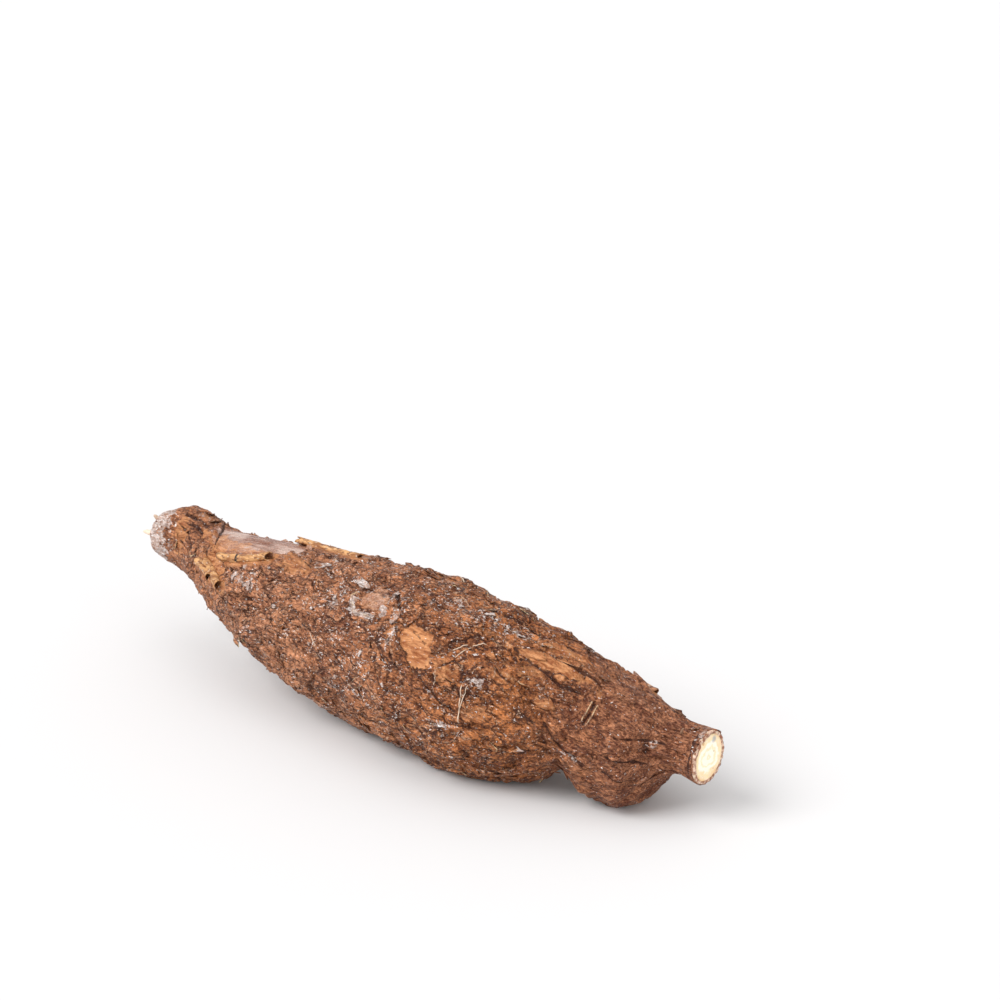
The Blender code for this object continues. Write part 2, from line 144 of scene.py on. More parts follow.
# Marks on the bark: middle, half length and half width, and how tan and how wax-white the place is.
Mark = namedtuple("Mark", "x angle half_length half_width tan spot")
MARKS = [
    Mark(98, 112, 17, 4.0, 0.75, 0.0),  # long golden stretch behind the fold
    Mark(90, 127, 8, 3.0, 0.50, 0.0),
    Mark(76, 168, 7, 4.0, 0.45, 0.0),
    Mark(97, 94, 12, 3.5, 0.60, 0.0),
    Mark(61, 148, 6, 5.0, 0.62, 0.0),  # rounded plate
    Mark(102, 136, 6, 4.0, 0.20, 0.25),  # greyish scale
    Mark(-129, 142, 6, 9.0, 0.60, 0.0),  # side of the knob
    Mark(-124, 84, 5, 5.0, 0.45, 0.3),
    Mark(-149, 158, 12, 22.0, 0.0, 0.80),  # waxy end of the knob
    Mark(-141, 185, 5, 8.0, 0.0, 0.60),
    Mark(-94, 124, 8, 8.0, 0.85, 0.0),  # under-bark between the collar and the roll
    Mark(-88, 111, 26, 4.5, 0.80, 0.0),  # lower side of the smooth skin
    Mark(-44, 112, 12, 5.0, 0.60, 0.0),  # under the long strip
    Mark(84, 137, 8, 3.0, 0.45, 0.0),
    Mark(70, 108, 7, 3.0, 0.40, 0.0),
    Mark(-70, 138, 3.0, 5.0, 0.0, 0.50),
    Mark(-62, 141, 5, 4.0, 0.0, 0.45),
    Mark(-32, 106, 6, 3.0, 0.0, 0.40),
    Mark(-13, 128, 6, 7.0, 0.0, 0.40),
    Mark(-3, 114, 8, 5.0, 0.0, 0.45),  # grey flake above the round scar
    Mark(6, 134, 8, 1.9, 0.0, 1.0),  # lower rim of the scar
    Mark(-2, 129, 1.8, 4.0, 0.0, 0.8),
    Mark(17, 128, 2.2, 3.5, 0.0, 0.8),
    Mark(16, 117, 2.0, 8.0, 0.0, 0.55),
    Mark(14, 158, 3.0, 5.0, 0.0, 0.35),
    Mark(28, 141, 1.6, 9.0, 0.0, 0.60),  # left rim of the bare patch
    Mark(25, 127, 4.0, 6.0, 0.0, 0.50),
    Mark(-66, 206, 3, 2.5, 0.0, 0.60),
    Mark(58, 98, 30, 6.0, 0.0, 0.38),
    Mark(62, 183, 5, 2.0, 0.0, 0.50),
    Mark(74, 146, 6, 2.0, 0.0, 0.50),
    Mark(112, 183, 6, 1.0, 0.0, 0.50),  # beside the fold
    Mark(143, 158, 1.6, 2.4, 0.0, 0.42),
    Mark(159.5, 105, 1.4, 5.0, 0.0, 0.6),  # ragged rim of the cut
]

# Ridges (height above 0) and cracks, each along a line of points, and how dark and how pale they are. The
# dark is the cracks' own and, along some grooves, painted shade; the pale is wear and painted highlight on
# rims and lips.
Line = namedtuple("Line", "points height half_width dark pale")
LINES = [
    Line([(-121, 50), (-109.5, 90), (-103.5, 123), (-103, 150)], 1.1, 1.1, 0.0, 0.1),  # collar over the waist
    # Groove under the collar, painted dark as the collar's shadow.
    Line([(-118.5, 50), (-107, 90), (-101.2, 123), (-101, 148)], -0.8, 0.7, 1.0, 0.0),
    Line([(117, 122), (117, 136), (116, 152)], -1.0, 0.60, 1.0, 1.0),  # crack with pale lips
    Line([(14, 108), (27, 127), (36, 121)], -1.6, 0.8, 1.0, 0.0),
    Line([(82, 112), (90, 118), (97, 123), (105, 127), (114, 123)], -1.1, 0.8, 1.0, 0.2),
    Line([(57, 147), (62, 138), (67, 140), (69, 152)], -0.7, 0.6, 0.9, 0.0),  # round the plate
    Line([(53, 152), (60, 157), (69, 156)], -0.9, 0.7, 1.0, 0.1),
    Line([(42, 152), (52, 157), (57, 168)], -0.7, 0.6, 0.9, 0.0),
    Line([(84, 190), (90.5, 195), (97, 188), (103, 176)], 0.9, 0.7, 0.0, 0.8),  # rim of the crescent
    # Groove under the crescent's rim, painted dark as the shadow under the plate.
    Line([(86, 196), (93, 198), (100, 190), (106, 178)], -0.8, 0.9, 1.0, 0.0),
    Line([(84, 150), (91, 147), (97, 149), (103, 152)], 0.8, 0.8, 0.0, 0.6),
    Line([(90, 157), (97, 163), (102, 176)], -0.8, 0.7, 1.0, 0.1),
    # Painted shadow in the fold, along its groove.
    Line([(101, 160), (105, 170), (109, 178), (114, 182), (121, 188)], -1.2, 0.8, 1.0, 0.4),  # in the fold
    Line([(97, 129), (99, 140), (105, 142), (110, 138)], -0.5, 0.5, 0.7, 0.2),  # round the greyish scale
    Line([(14, 104), (16, 112), (18, 122)], 0.7, 0.6, 0.0, 0.3),
    Line([(-2, 116), (-3, 127), (2, 135), (12, 134), (19, 122)], 0.9, 0.9, 0.0, 0.92),  # rim of the scar
    Line([(-1, 117), (5, 114), (13, 115)], -0.6, 2.0, 0.6, 0.0),  # shade under the flake over it
    Line([(-7, 127), (2, 140), (14, 138), (21, 124)], -0.6, 0.8, 0.8, 0.0),
    Line([(29, 132), (29, 142), (33, 151), (41, 158)], 0.9, 0.7, 0.0, 0.8),  # raised rim of the bare patch
    Line([(26.5, 132), (26.5, 143), (31, 153), (40, 160)], -0.9, 0.8, 1.0, 0.0),
    Line([(35, 130), (41, 133), (47, 136)], -0.3, 0.7, 0.55, 0.0),
    Line([(-139, 118), (-140, 150), (-138, 185)], 1.0, 1.0, 0.5, 0.0),  # flange round the waxy end
    Line([(-134, 110), (-128, 104), (-120, 100), (-113, 96)], -1.1, 1.0, 1.0, 0.2),  # hollows on the knob
    Line([(-128, 122), (-121, 114), (-113, 118)], -0.9, 0.9, 1.0, 0.1),
    Line([(-133, 132), (-125, 134), (-120, 142), (-116, 156)], -0.7, 0.7, 0.9, 0.1),
    Line([(-132, 152), (-126, 158), (-116, 162)], -0.7, 0.6, 0.8, 0.2),
    Line([(-56, 134), (-40, 128), (-26, 126)], -0.6, 0.7, 0.8, 0.0),
    Line([(-86, 128), (-70, 122), (-54, 108)], -0.5, 0.7, 0.6, 0.0),
    Line([(141, 150), (142, 162), (142, 178)], -0.6, 0.7, 0.7, 0.2),  # where the neck leaves the bulge
    Line([(53, 128), (60, 122), (65, 114), (71, 112)], -0.7, 0.6, 0.9, 0.2),
    Line([(69, 111), (80, 116), (91, 128)], -0.7, 0.6, 0.9, 0.3),
    Line([(57, 94), (70, 96), (85, 98)], -0.7, 0.7, 0.9, 0.3),
    Line([(60, 82), (80, 86), (104, 83)], -0.9, 0.8, 1.0, 0.6),
    Line([(86, 101), (103, 104), (118, 110)], -0.9, 0.7, 1.0, 0.6),
    Line([(30, 100), (42, 106), (54, 104)], -0.8, 0.7, 0.9, 0.5),
    Line([(18, 136), (20, 146), (26, 156), (36, 164)], -0.7, 0.6, 0.9, 0.2),
    Line([(50, 156), (60, 150), (68, 154), (72, 166)], -0.8, 0.6, 0.9, 0.1),
    Line([(54, 161), (63, 169), (70, 172)], -0.8, 0.7, 1.0, 0.2),
    Line([(70, 157), (78, 155), (89, 150)], -0.6, 0.6, 0.8, 0.3),
    Line([(78, 132), (84, 138), (91, 141)], -0.6, 0.6, 0.8, 0.3),
    Line([(22, 160), (31, 176), (47, 174), (58, 182)], -0.6, 0.6, 0.8, 0.1),
    Line([(58, 184), (68, 180), (78, 180)], -0.6, 0.6, 0.9, 0.3),
    Line([(-45, 106), (-34, 110), (-24, 114)], -0.6, 0.6, 0.8, 0.1),
    Line([(-31, 140), (-20, 144), (-9, 149)], -0.5, 0.5, 0.7, 0.1),
    Line([(-43, 180), (-33, 178), (-24, 181)], -0.5, 0.6, 0.7, 0.1),
    Line([(124, 150), (132, 147), (140, 146), (150, 158)], -0.5, 0.5, 0.9, 0.1),
    Line([(127, 168), (133, 174), (138, 179), (144, 198)], -0.5, 0.5, 0.9, 0.1),
    Line([(124, 184), (131, 194), (137, 206), (139, 217)], -0.5, 0.5, 0.8, 0.1),
    Line([(158.3, 100), (158.9, 130), (158.9, 170), (158.5, 215)], 0.0, 0.6, 0.9, 0.0),  # where the bark ends
    Line([(20, 60), (40, 66), (62, 62)], -0.7, 0.7, 0.9, 0.3),
    Line([(-20, 40), (0, 34), (22, 38)], -0.7, 0.7, 0.9, 0.3),
    Line([(-66, 20), (-40, 16), (-20, 22)], -0.7, 0.7, 0.9, 0.2),
    Line([(50, 330), (72, 338), (90, 334)], -0.7, 0.7, 0.9, 0.2),
]

# Fibres that lie on the bark: two places each, and the radius.
Fibre = namedtuple("Fibre", "start end radius")
FIBRES = [
    Fibre((60, 132), (64, 123), 0.22),
    Fibre((62, 136), (66, 124), 0.18),
    Fibre((66, 123), (71, 118), 0.20),
    Fibre((69.5, 150), (70.5, 178), 0.24),
    Fibre((72, 150), (70, 176), 0.20),
    Fibre((56, 150), (58, 158), 0.18),
    Fibre((-20, 160), (-14, 167), 0.18),
    Fibre((20, 60), (34, 66), 0.22),
    Fibre((-40, 330), (-28, 340), 0.22),
    Fibre((84, 20), (96, 12), 0.22),
]

# Fine mesh of the skin, in three pieces that overlap where they meet.
COLUMNS = 410
TIP_ROWS = 14
ROW_SPACING = 0.47
# Names of the pieces, and where each ends.
SKIN_PIECES = (("bark_skin_tip", -46.0), ("bark_skin_belly", 57.0), ("bark_skin_neck", None))
OVERLAP_ROWS = 10
OVERLAP_SINK = 0.05  # a piece dips under its neighbour by this times the distance squared

# Bark in layers like worn plywood: size of the swells along and across, number of plies, and height. Each
# salt stands for a noise of its own.
Plies = namedtuple("Plies", "length width steps height salt")
TIP_PLIES = [Plies(12.0, 7.0, 4, 1.5, 11), Plies(5.0, 3.2, 3, 0.8, 14)]
NECK_PLIES = [Plies(30.0, 9.0, 5, 2.2, 21), Plies(11.0, 3.6, 3, 1.0, 24)]

# Thin wavy cracks that come and go: size of their waves along and across, width as a share of a wave, depth.
Cracks = namedtuple("Cracks", "length width share depth salt")
TIP_CRACKS = [Cracks(7.0, 3.6, 0.10, 0.8, 31), Cracks(3.6, 2.0, 0.17, 0.5, 35)]
NECK_CRACKS = [Cracks(14.0, 4.0, 0.09, 0.8, 41), Cracks(7.0, 2.0, 0.16, 0.5, 45)]
LONG_FLAKES = (-25.0, 35.0)  # the bark turns from even to drawn out along the root between these

# What changes along the root: (x, value) pairs.
WARMTH = [
    (-150, 0.4), (-110, 0.4), (-60, 0.2), (0, 0.4), (50, 0.75), (90, 0.95), (108, 0.5), (125, 0.3),
    (160, 0.2),
]
DEEPNESS = [
    (-150, 0.4), (-115, 0.25), (-90, -0.15), (-50, -0.15), (0, 0.25), (60, 0.42), (100, 0.44), (120, 0.75),
    (160, 0.8),
]
# How many white specks: wax flecks, and painted glints.
WAX_AND_GLINTS = [
    (-153, 1.0), (-143, 0.8), (-133, 0.25), (-60, 0.55), (10, 0.68), (50, 0.55), (85, 0.35), (112, 0.12),
    (125, 0.05),
]
ROUGHNESS_OF_BARK = [(-152, 0.35), (-115, 0.75), (-70, 1.0), (70, 1.0), (105, 0.7), (125, 0.35), (160, 0.3)]

# Loose flakes. Heading 0 points along the root, and 90 round it the way the angle grows.
FLAKE_COUNT = 420  # in each of the two halves
FLAKES_MEET = 15.0  # x where the halves meet
FLAKE_SHORTEST, FLAKE_GROWTH = 1.4, 3.6
FLAKE_FLOOR_GAP = 3.0  # height under which no flake is drawn by chance
FULL_RADIUS = 38.0  # a thinner stretch of the root holds fewer flakes
Flake = namedtuple("Flake", "x angle length width heading lift wax")
TIP_FLAKES = [
    Flake(-72, 208, 6.0, 5.5, 75, 2.2, 0),  # hangs off the underside
    Flake(-62, 212, 4.0, 3.5, 60, 1.5, 0),
    Flake(-121, 78, 6.0, 6.0, -10, 1.6, 0),  # on top of the knob
    Flake(-127, 66, 5.0, 5.0, 30, 1.3, 0),
    Flake(-130, 96, 5.0, 4.0, 160, 1.3, 0),
    Flake(-133, 158, 5.0, 4.0, 60, 1.1, 0),
    Flake(-63, 128, 5.0, 4.5, 40, 0.9, 0),
    Flake(-72, 137, 5.5, 2.6, 80, 0.9, 1),  # waxy white
    Flake(-66, 141, 6.0, 4.0, 40, 0.6, 0.75),
    Flake(-36, 108, 8.0, 2.8, -20, 0.8, 0.9),
    Flake(-7, 112, 9.0, 4.0, 15, 1.2, 0.9),  # over the round scar
    Flake(-15, 127, 3.0, 2.4, 40, 0.8, 1),
    Flake(-12, 131, 2.6, 2.0, 100, 0.8, 1),
    Flake(16, 108, 5.5, 2.2, 85, 1.0, 0.8),
    Flake(14, 155, 4.6, 2.6, 90, 0.9, 1),
    Flake(-25, 142, 2.5, 1.8, 10, 0.7, 1),
    Flake(-46, 152, 3.0, 1.8, 20, 0.7, 1),
    Flake(-20, 166, 2.4, 1.7, 60, 0.7, 1),
    Flake(0, 180, 2.6, 1.6, 110, 0.7, 1),
    Flake(-55, 60, 5.0, 3.0, 10, 0.9, 0.8),
    Flake(-10, 20, 6.0, 3.5, 30, 0.9, 0.8),
]
NECK_FLAKES = [
    Flake(88, 172, 8.0, 17.0, 80, 0.9, 0),  # broad plate over the fold
    Flake(24, 127, 5.0, 4.5, 60, 1.3, 0.8),  # above the left rim of the bare patch
    Flake(57, 146, 7.0, 8.0, 200, 0.4, 0),  # over its right side
    Flake(57, 134, 6.0, 5.0, 190, 0.5, 0),
    Flake(84, 108, 11.0, 5.0, 10, 0.7, 0),
    Flake(96, 100, 10.0, 4.0, 5, 0.8, 0),
    Flake(110, 96, 7.0, 4.0, 15, 1.0, 0),
    Flake(56, 108, 9.0, 5.0, 0, 0.8, 0),
    Flake(150, 92, 6.0, 4.0, 5, 0.8, 0),
    Flake(60, 182, 5.0, 2.2, 5, 0.9, 0.9),
    Flake(72, 146, 4.5, 2.2, 5, 0.8, 0.9),
    Flake(46, 98, 5.0, 2.0, 10, 0.9, 1),
    Flake(60, 94, 5.0, 2.2, 0, 0.9, 0.9),
    Flake(76, 96, 4.5, 1.8, 10, 0.9, 0.8),
    Flake(30, 170, 2.8, 1.8, 40, 0.8, 1),
    Flake(92, 190, 4.0, 1.8, 20, 0.8, 0.8),
    Flake(40, 10, 6.0, 3.5, 10, 0.9, 0.8),
    Flake(70, 60, 6.0, 3.0, 170, 0.9, 0.7),
]
FLAKE_GRID = 5  # points of a flake, each way
FLAKE_THICKNESS = 0.2

# The cut. Each place on the rind's profile is a share of the way from the flesh to the bark, and how far out
# it stands. The bark's rim turns in behind the cut, at shares of the neck's radius.
CUT_COLUMNS, FLESH_RINGS = 120, 40
FLESH_OUT, CUT_BACK = 0.7, -3.0
RIND_PROFILE = ((-0.15, -3.0), (-0.1, 0.1), (0.15, 0.6), (0.45, 0.45), (0.8, 0.65), (0.95, 0.0), (0.85, -3.0))
TURNED_RIM = ((0.93, 0.1), (0.9, -2.5), (0.5, -2.5))


def smooth_step(low, high, value):
    t = np.clip((value - low) / (high - low), 0.0, 1.0)
    return t * t * (3 - 2 * t)


def turn_between(a, b):
    """The smallest turn from angle a to angle b, in degrees, with its sign."""
    return (b - a + 180.0) % 360.0 - 180.0


def along_root(pairs, x):
    return np.interp(x, [p[0] for p in pairs], [p[1] for p in pairs])


def sections_at(x):
    """The sections' y, z, side, up and down at each x, on smooth cubic curves."""
    table = np.array(SECTIONS)
    xs, values = table[:, 0], table[:, 1:]
    last = len(xs) - 1
    x = np.clip(x, xs[0], xs[-1])
    i = np.clip(np.searchsorted(xs, x) - 1, 0, last - 1)
    low = np.maximum(np.arange(last + 1) - 1, 0)
    high = np.minimum(np.arange(last + 1) + 1, last)
    slopes = (values[high] - values[low]) / (xs[high] - xs[low])[:, None]
    width = (xs[i + 1] - xs[i])[..., None]
    t = (x - xs[i])[..., None] / width
    result = (
        (2 * t**3 - 3 * t**2 + 1) * values[i]
        + (t**3 - 2 * t**2 + t) * width * slopes[i]
        + (3 * t**2 - 2 * t**3) * values[i + 1]
        + (t**3 - t**2) * width * slopes[i + 1]
    )
    return np.moveaxis(result, -1, 0)


def mean_radius(x):
    _, _, side, up, down = sections_at(x)
    return (side + up + down) / 3


def trunk_points(x, angle, size=1.0):
    """Points of the smooth root, or of rings inside it where size is under 1."""
    x, angle = np.broadcast_arrays(np.asarray(x, float), np.asarray(angle, float))
    y, z, side, up, down = sections_at(x)
    a = np.radians(angle)
    tall = np.where(np.sin(a) >= 0, up, down)
    closing = np.sqrt(np.clip(1.0 - (np.minimum(x - TIP.x, 0.0) / TIP_ROUNDING) ** 2, 0.0, 1.0))
    size = size * closing
    return np.stack([x, y + side * size * np.cos(a), z + tall * size * np.sin(a)], axis=-1)


def unit(vectors):
    return vectors / np.maximum(np.linalg.norm(vectors, axis=-1, keepdims=True), 1e-9)


def trunk_normals(x, angle):
    """Outward directions of the smooth root."""
    step = 0.5
    low = np.maximum(x - step, TIP.x - TIP_ROUNDING * 0.9)
    high = np.minimum(x + step, NECK.x)
    along = trunk_points(high, angle) - trunk_points(low, angle)
    around = trunk_points(x, angle + 2) - trunk_points(x, angle - 2)
    return unit(np.cross(around, along))


def distance_to_line(points, x, angle, radius):
    """Distances over the surface to a line of points, and how far along it the nearest place is, 0 to 1."""
    best = np.full(np.shape(x), 1e9)
    where = np.zeros(np.shape(x))
    arc = np.radians(radius)
    legs = len(points) - 1
    for i in range(legs):
        (x0, a0), (x1, a1) = points[i], points[i + 1]
        leg_x, leg_y = x1 - x0, turn_between(a0, a1) * arc
        here_x, here_y = x - x0, turn_between(a0, angle) * arc
        t = np.clip((here_x * leg_x + here_y * leg_y) / (leg_x**2 + leg_y**2), 0.0, 1.0)
        away = np.hypot(here_x - leg_x * t, here_y - leg_y * t)
        where = np.where(away < best, (i + t) / legs, where)
        best = np.minimum(best, away)
    return best, where


def away_from(spot, x, angle, radius):
    """Distance from the middle of a patch or a mark, where 1 is its edge."""
    along = (x - spot.x) / spot.half_length
    around = np.radians(turn_between(spot.angle, angle)) * radius / spot.half_width
    return np.hypot(along, around)


def fade_ends(where, share):
    """1 along the middle of a line, falling to 0 over that share of it at each end."""
    return smooth_step(0.0, share, where) * smooth_step(0.0, share, 1.0 - where)


def along_line(start, end, t):
    """x and angle on the straightest way over the root from start to end, at the shares t of it."""
    x = start[0] + (end[0] - start[0]) * t
    return x, start[1] + turn_between(start[1], end[1]) * t


def fold_depth(x, angle, radius):
    total = 0.0
    for fold in FOLDS:
        away, where = distance_to_line(fold.points, x, angle, radius)
        total = total + fold.depth * fade_ends(where, 0.22) * np.exp(-((away / fold.half_width) ** 2))
    return total


def blender_noise(points):
    return np.array([noise.noise(Vector(p)) for p in points])


def bareness(x, angle, radius):
    """How far the bark is gone, how deep, how mauve and how tan a place is, and the patches' rims."""
    most, depth, skin, tan = (np.zeros(np.shape(x)) for _ in range(4))
    for patch in BARE_PATCHES:
        away = away_from(patch, x, angle, radius)
        near = away < PATCH_REACH
        wobble = np.zeros(np.shape(x))
        flat = np.stack([x[near], angle[near] * 0.5, np.full(near.sum(), float(patch.x))], axis=-1)
        wobble[near] = 0.28 * blender_noise(flat / 5.0) + 0.18 * blender_noise(flat / 1.9)
        share = 1.0 - smooth_step(1.0 - PATCH_EDGE, 1.0 + PATCH_EDGE, away + wobble)
        deeper = share > most
        depth = np.where(deeper, patch.depth, depth)
        most = np.maximum(most, share)
        skin = np.maximum(skin, share * patch.skin)
        tan = np.maximum(tan, share * patch.tan)
    rim = 4 * most * (1 - most) * (1 - skin)
    for curl in CURLS:
        away, _ = distance_to_line([curl.start, curl.end], x, angle, radius)
        share = 1.0 - smooth_step(curl.radius + 1.0, curl.radius + 4.0, away)
        depth = np.where(share > most, 0.0, depth)
        most = np.maximum(most, share)
        tan = np.maximum(tan, 0.6 * share)
    return most, depth, skin, tan, rim


def scale_relief(points):
    """Height of the big scales of the CAD solid, with narrower cracks, and how deep in a crack a place is."""
    heights, cracks = np.zeros(len(points)), np.zeros(len(points))
    for k, p in enumerate(points):
        point = Vector(p)
        place = point + noise.noise_vector(point / SCALE_BEND_SIZE) * SCALE_BEND
        cell = Vector((place.x / SCALE_LONG, place.y / SCALE_WIDE, place.z / SCALE_WIDE))
        distances, centres = noise.voronoi(cell)
        border = distances[1] - distances[0]
        crack = min(border / SCALE_SLOPE, 1.0)
        crack = crack * crack * (3 - 2 * crack)
        level = noise.cell(centres[0] * 7.3)
        lifted = (cell - centres[0]).dot(SCALE_LEAN)
        heights[k] = SCALE_HEIGHT * (0.55 * crack + 0.45 * level + 0.7 * lifted * crack - 0.6)
        cracks[k] = 1.0 - min(border / SCALE_CRACK, 1.0)
    return heights, cracks


def cell_random(cells, salt, count):
    """Random numbers from 0 to 1 for whole-number places: the same place always gets the same ones."""
    keys = cells.astype(np.int64).astype(np.uint64)
    mixed = keys[..., 0] * np.uint64(0x9E3779B97F4A7C15)
    mixed ^= keys[..., 1] * np.uint64(0xC2B2AE3D27D4EB4F)
    mixed ^= keys[..., 2] * np.uint64(0x165667B19E3779F9)
    numbers = np.empty(mixed.shape + (count,))
    for k in range(count):
        value = mixed ^ np.uint64((salt * 7919 + k * 104729 + 12345) * 2654435761)
        value ^= value >> np.uint64(31)
        value = value * np.uint64(0x7FB5D329728EA185)
        value ^= value >> np.uint64(27)
        value = value * np.uint64(0x81DADEF4BC2DD44D)
        value ^= value >> np.uint64(33)
        numbers[..., k] = (value >> np.uint64(11)) / float(2**53)
    return numbers


def soft_noise(points, salt):
    """Smooth noise from -1 to 1, with swells one unit apart."""
    low = np.floor(points)
    t = points - low
    t = t * t * (3 - 2 * t)
    total = np.zeros(points.shape[:-1])
    for corner in itertools.product((0, 1), repeat=3):
        weight = np.prod(np.where(corner, t, 1 - t), axis=-1)
        total += weight * cell_random(low + corner, salt, 1)[..., 0]
    return 2 * total - 1


def warped(points, size, reach, salt):
    """The points, each moved by up to about reach, in swells of that size."""
    moves = [soft_noise(points / size, salt + k) for k in range(3)]
    return points + reach * np.stack(moves, axis=-1)


def ply_layers(points, plies):
    """Height of the layers, nearness to a layer's lip, which is painted pale for wear and as a highlight,
    nearness to the foot of the next one, where a shadow is painted, and tone.
    """
    swells = np.array((plies.length, plies.width, plies.width))
    level = soft_noise(points / swells, plies.salt) + 0.4 * soft_noise(points / swells * 2.3, plies.salt + 1)
    level = (level * 0.5 + 0.5) * plies.steps
    whole = np.floor(level)
    part = level - whole
    height = plies.height * ((whole + smooth_step(0.0, 0.13, part)) / plies.steps - 0.5)
    # The lip is painted pale: wear, and a painted highlight where it catches the light.
    lip = np.exp(-(((part - 0.16) / 0.08) ** 2))
    # Painted shadow at the foot of each step, which darkens like a crack.
    foot = smooth_step(0.86, 1.0, part) * (part < 1.0)
    tone = soft_noise(points / (5.0, 4.0, 4.0) + whole[:, None] * 17.3, plies.salt + 2)
    return height, lip, foot, tone * 0.5 + 0.5


def crack_lines(points, cracks):
    """1 in a crack and 0 off it."""
    waves = np.array((cracks.length, cracks.width, cracks.width))
    off = np.abs(soft_noise(points / waves, cracks.salt))
    line = 1.0 - smooth_step(0.3 * cracks.share, cracks.share, off)
    there = smooth_step(-0.15, 0.2, soft_noise(points / (8.0, 5.0, 5.0), cracks.salt + 1))
    return line * there


def fine_relief(points, plies, cracks):
    """Height, tone, pale edges (worn, and painted as highlights) and dark cracks of the bark's fine relief;
    the dark also paints the shadow at the foot of each layer.
    """
    coarse, fine = (ply_layers(points, p) for p in plies)
    height = coarse[0] + fine[0]
    edge = np.maximum(coarse[1], 0.7 * fine[1])
    dark = np.maximum(coarse[2], 0.6 * fine[2])
    for each in cracks:
        line = crack_lines(points, each)
        height = height - each.depth * line
        dark = np.maximum(dark, line)
    return height, 0.5 * coarse[3] + 0.5 * fine[3], edge * (1 - dark), dark


def wrinkles(points, length, width, salt):
    """Fine ridges drawn out along the root, highest on their crests."""
    drawn = points / np.array((length, width, width))
    return 1.0 - np.abs(soft_noise(drawn, salt)) * 2.0


def drawn_lines(x, angle, radius, place):
    """Height, darkness and paleness of the ridges and cracks in LINES."""
    height, dark, pale = (np.zeros(np.shape(x)) for _ in range(3))
    wander = 0.8 * soft_noise(place / 2.2, 111)
    for line in LINES:
        away, where = distance_to_line(line.points, x, angle, radius)
        ends = fade_ends(where, 0.15)
        share = np.exp(-(((away + wander * line.half_width) / line.half_width) ** 2)) * (0.25 + 0.75 * ends)
        share = np.where(away < 4 * line.half_width, share, 0.0)
        height += line.height * share
        dark = np.maximum(dark, line.dark * share)
        if line.height > 0:
            pale = np.maximum(pale, line.pale * share)
            continue
        lips = np.exp(-(((away - 1.9 * line.half_width) / (0.7 * line.half_width)) ** 2)) * ends
        height += 0.6 * line.pale * lips
        pale = np.maximum(pale, line.pale * lips)
    return height, dark, pale


def marks_at(x, angle, radius, place):
    """How tan and how wax-white the marked places are."""
    tan, spot = np.zeros(np.shape(x)), np.zeros(np.shape(x))
    ragged = 0.55 * soft_noise(place / 2.4, 121) + 0.25 * soft_noise(place / 1.1, 122)
    for mark in MARKS:
        share = 1.0 - smooth_step(0.7, 1.2, away_from(mark, x, angle, radius) + ragged)
        tan = np.maximum(tan, share * mark.tan)
        spot = np.maximum(spot, share * mark.spot)
    return tan, spot


# The crack mask also carries painted shade, the edge mask painted highlights as well as wear, and the wax
# mask painted glints as well as wax.
MASKS = ("tone", "edge", "crack", "skin", "tan", "wax", "spot", "warm", "coarse")
Bark = namedtuple("Bark", ("place", "normal", "height") + MASKS)


def bark_at(x, angle):
    """The finished surface at flat arrays of x and angle, with the masks that its material reads."""
    radius = mean_radius(x)
    smooth = trunk_points(x, angle)
    normal = trunk_normals(x, angle)
    bare, depth, skin, tan, rim = bareness(x, angle, radius)
    slender = smooth_step(*SLENDER, radius)
    ridges = smooth_step(RIDGES_FROM, RIDGES_FULL, x) * (1 - 0.8 * smooth_step(*RIDGES_FADE, x))

    big, big_crack = scale_relief(smooth)
    big = big + GRAIN_HEIGHT * blender_noise(smooth / GRAIN_SIZE)
    big = big * (0.45 + 0.55 * slender) * (1 - 0.6 * ridges)

    stirred = warped(warped(smooth, 11.0, 3.0, 51), 3.5, 0.9, 54)
    long_flakes = smooth_step(*LONG_FLAKES, x)
    tip_bark = fine_relief(stirred, TIP_PLIES, TIP_CRACKS)
    neck_bark = fine_relief(stirred, NECK_PLIES, NECK_CRACKS)
    fine, tone, edge, crack = (a + (b - a) * long_flakes for a, b in zip(tip_bark, neck_bark))
    rough = along_root(ROUGHNESS_OF_BARK, x)
    lines = wrinkles(stirred, 7.0, 1.5, 64)
    fine = fine * rough + 0.20 * lines * (0.4 + 0.6 * long_flakes)
    line_height, line_dark, line_pale = drawn_lines(x, angle, radius, smooth)

    wave = np.sin(np.radians(angle) * RIDGE_COUNT + 2.5 * blender_noise(smooth / 6.0))
    fine_skin = 0.10 * wrinkles(smooth, 12.0, 1.5, 71) + 0.05 * soft_noise(smooth / 1.3, 72)
    height = (1 - bare) * (big + fine + ridges * RIDGE_HEIGHT * wave) + bare * (fine_skin - depth)
    height = height + SWELL_HEIGHT * slender * blender_noise(smooth / SWELL_SIZE)
    height = height - fold_depth(x, angle, radius) + line_height
    at_cut = smooth_step(CUT_RIM_FROM, NECK.x, x)
    height = height * (1 - 0.85 * at_cut) + CUT_RIM_HEIGHT * at_cut

    crack = np.maximum(crack * (0.2 + 0.5 * rough), 0.4 * big_crack) * (1 - bare)
    tone = np.clip(tone * 0.8 + 0.30 - 0.45 * along_root(DEEPNESS, x), 0.0, 1.0)
    mark_tan, spot = marks_at(x, angle, radius, smooth)
    # Of these, crack also carries painted shade, edge painted highlights, and wax painted glints.
    return Bark(
        place=smooth,
        normal=normal,
        height=height,
        tone=tone,
        edge=np.maximum(edge * (1 - bare) * rough * 0.8, line_pale),
        crack=np.maximum.reduce([crack * (1 - 0.5 * mark_tan), line_dark, 0.75 * rim]),
        skin=skin,
        tan=np.maximum(tan, mark_tan),
        wax=along_root(WAX_AND_GLINTS, x) * (1 - skin),
        spot=spot,
        warm=along_root(WARMTH, x),
        coarse=rough,
    )


def lifted_off(bark, above=0.0):
    """The places of the surface, or above it, and never under the floor."""
    places = bark.place + bark.normal * np.asarray(bark.height + above)[..., None]
    places[..., 2] = np.maximum(places[..., 2], 0.0)
    return places


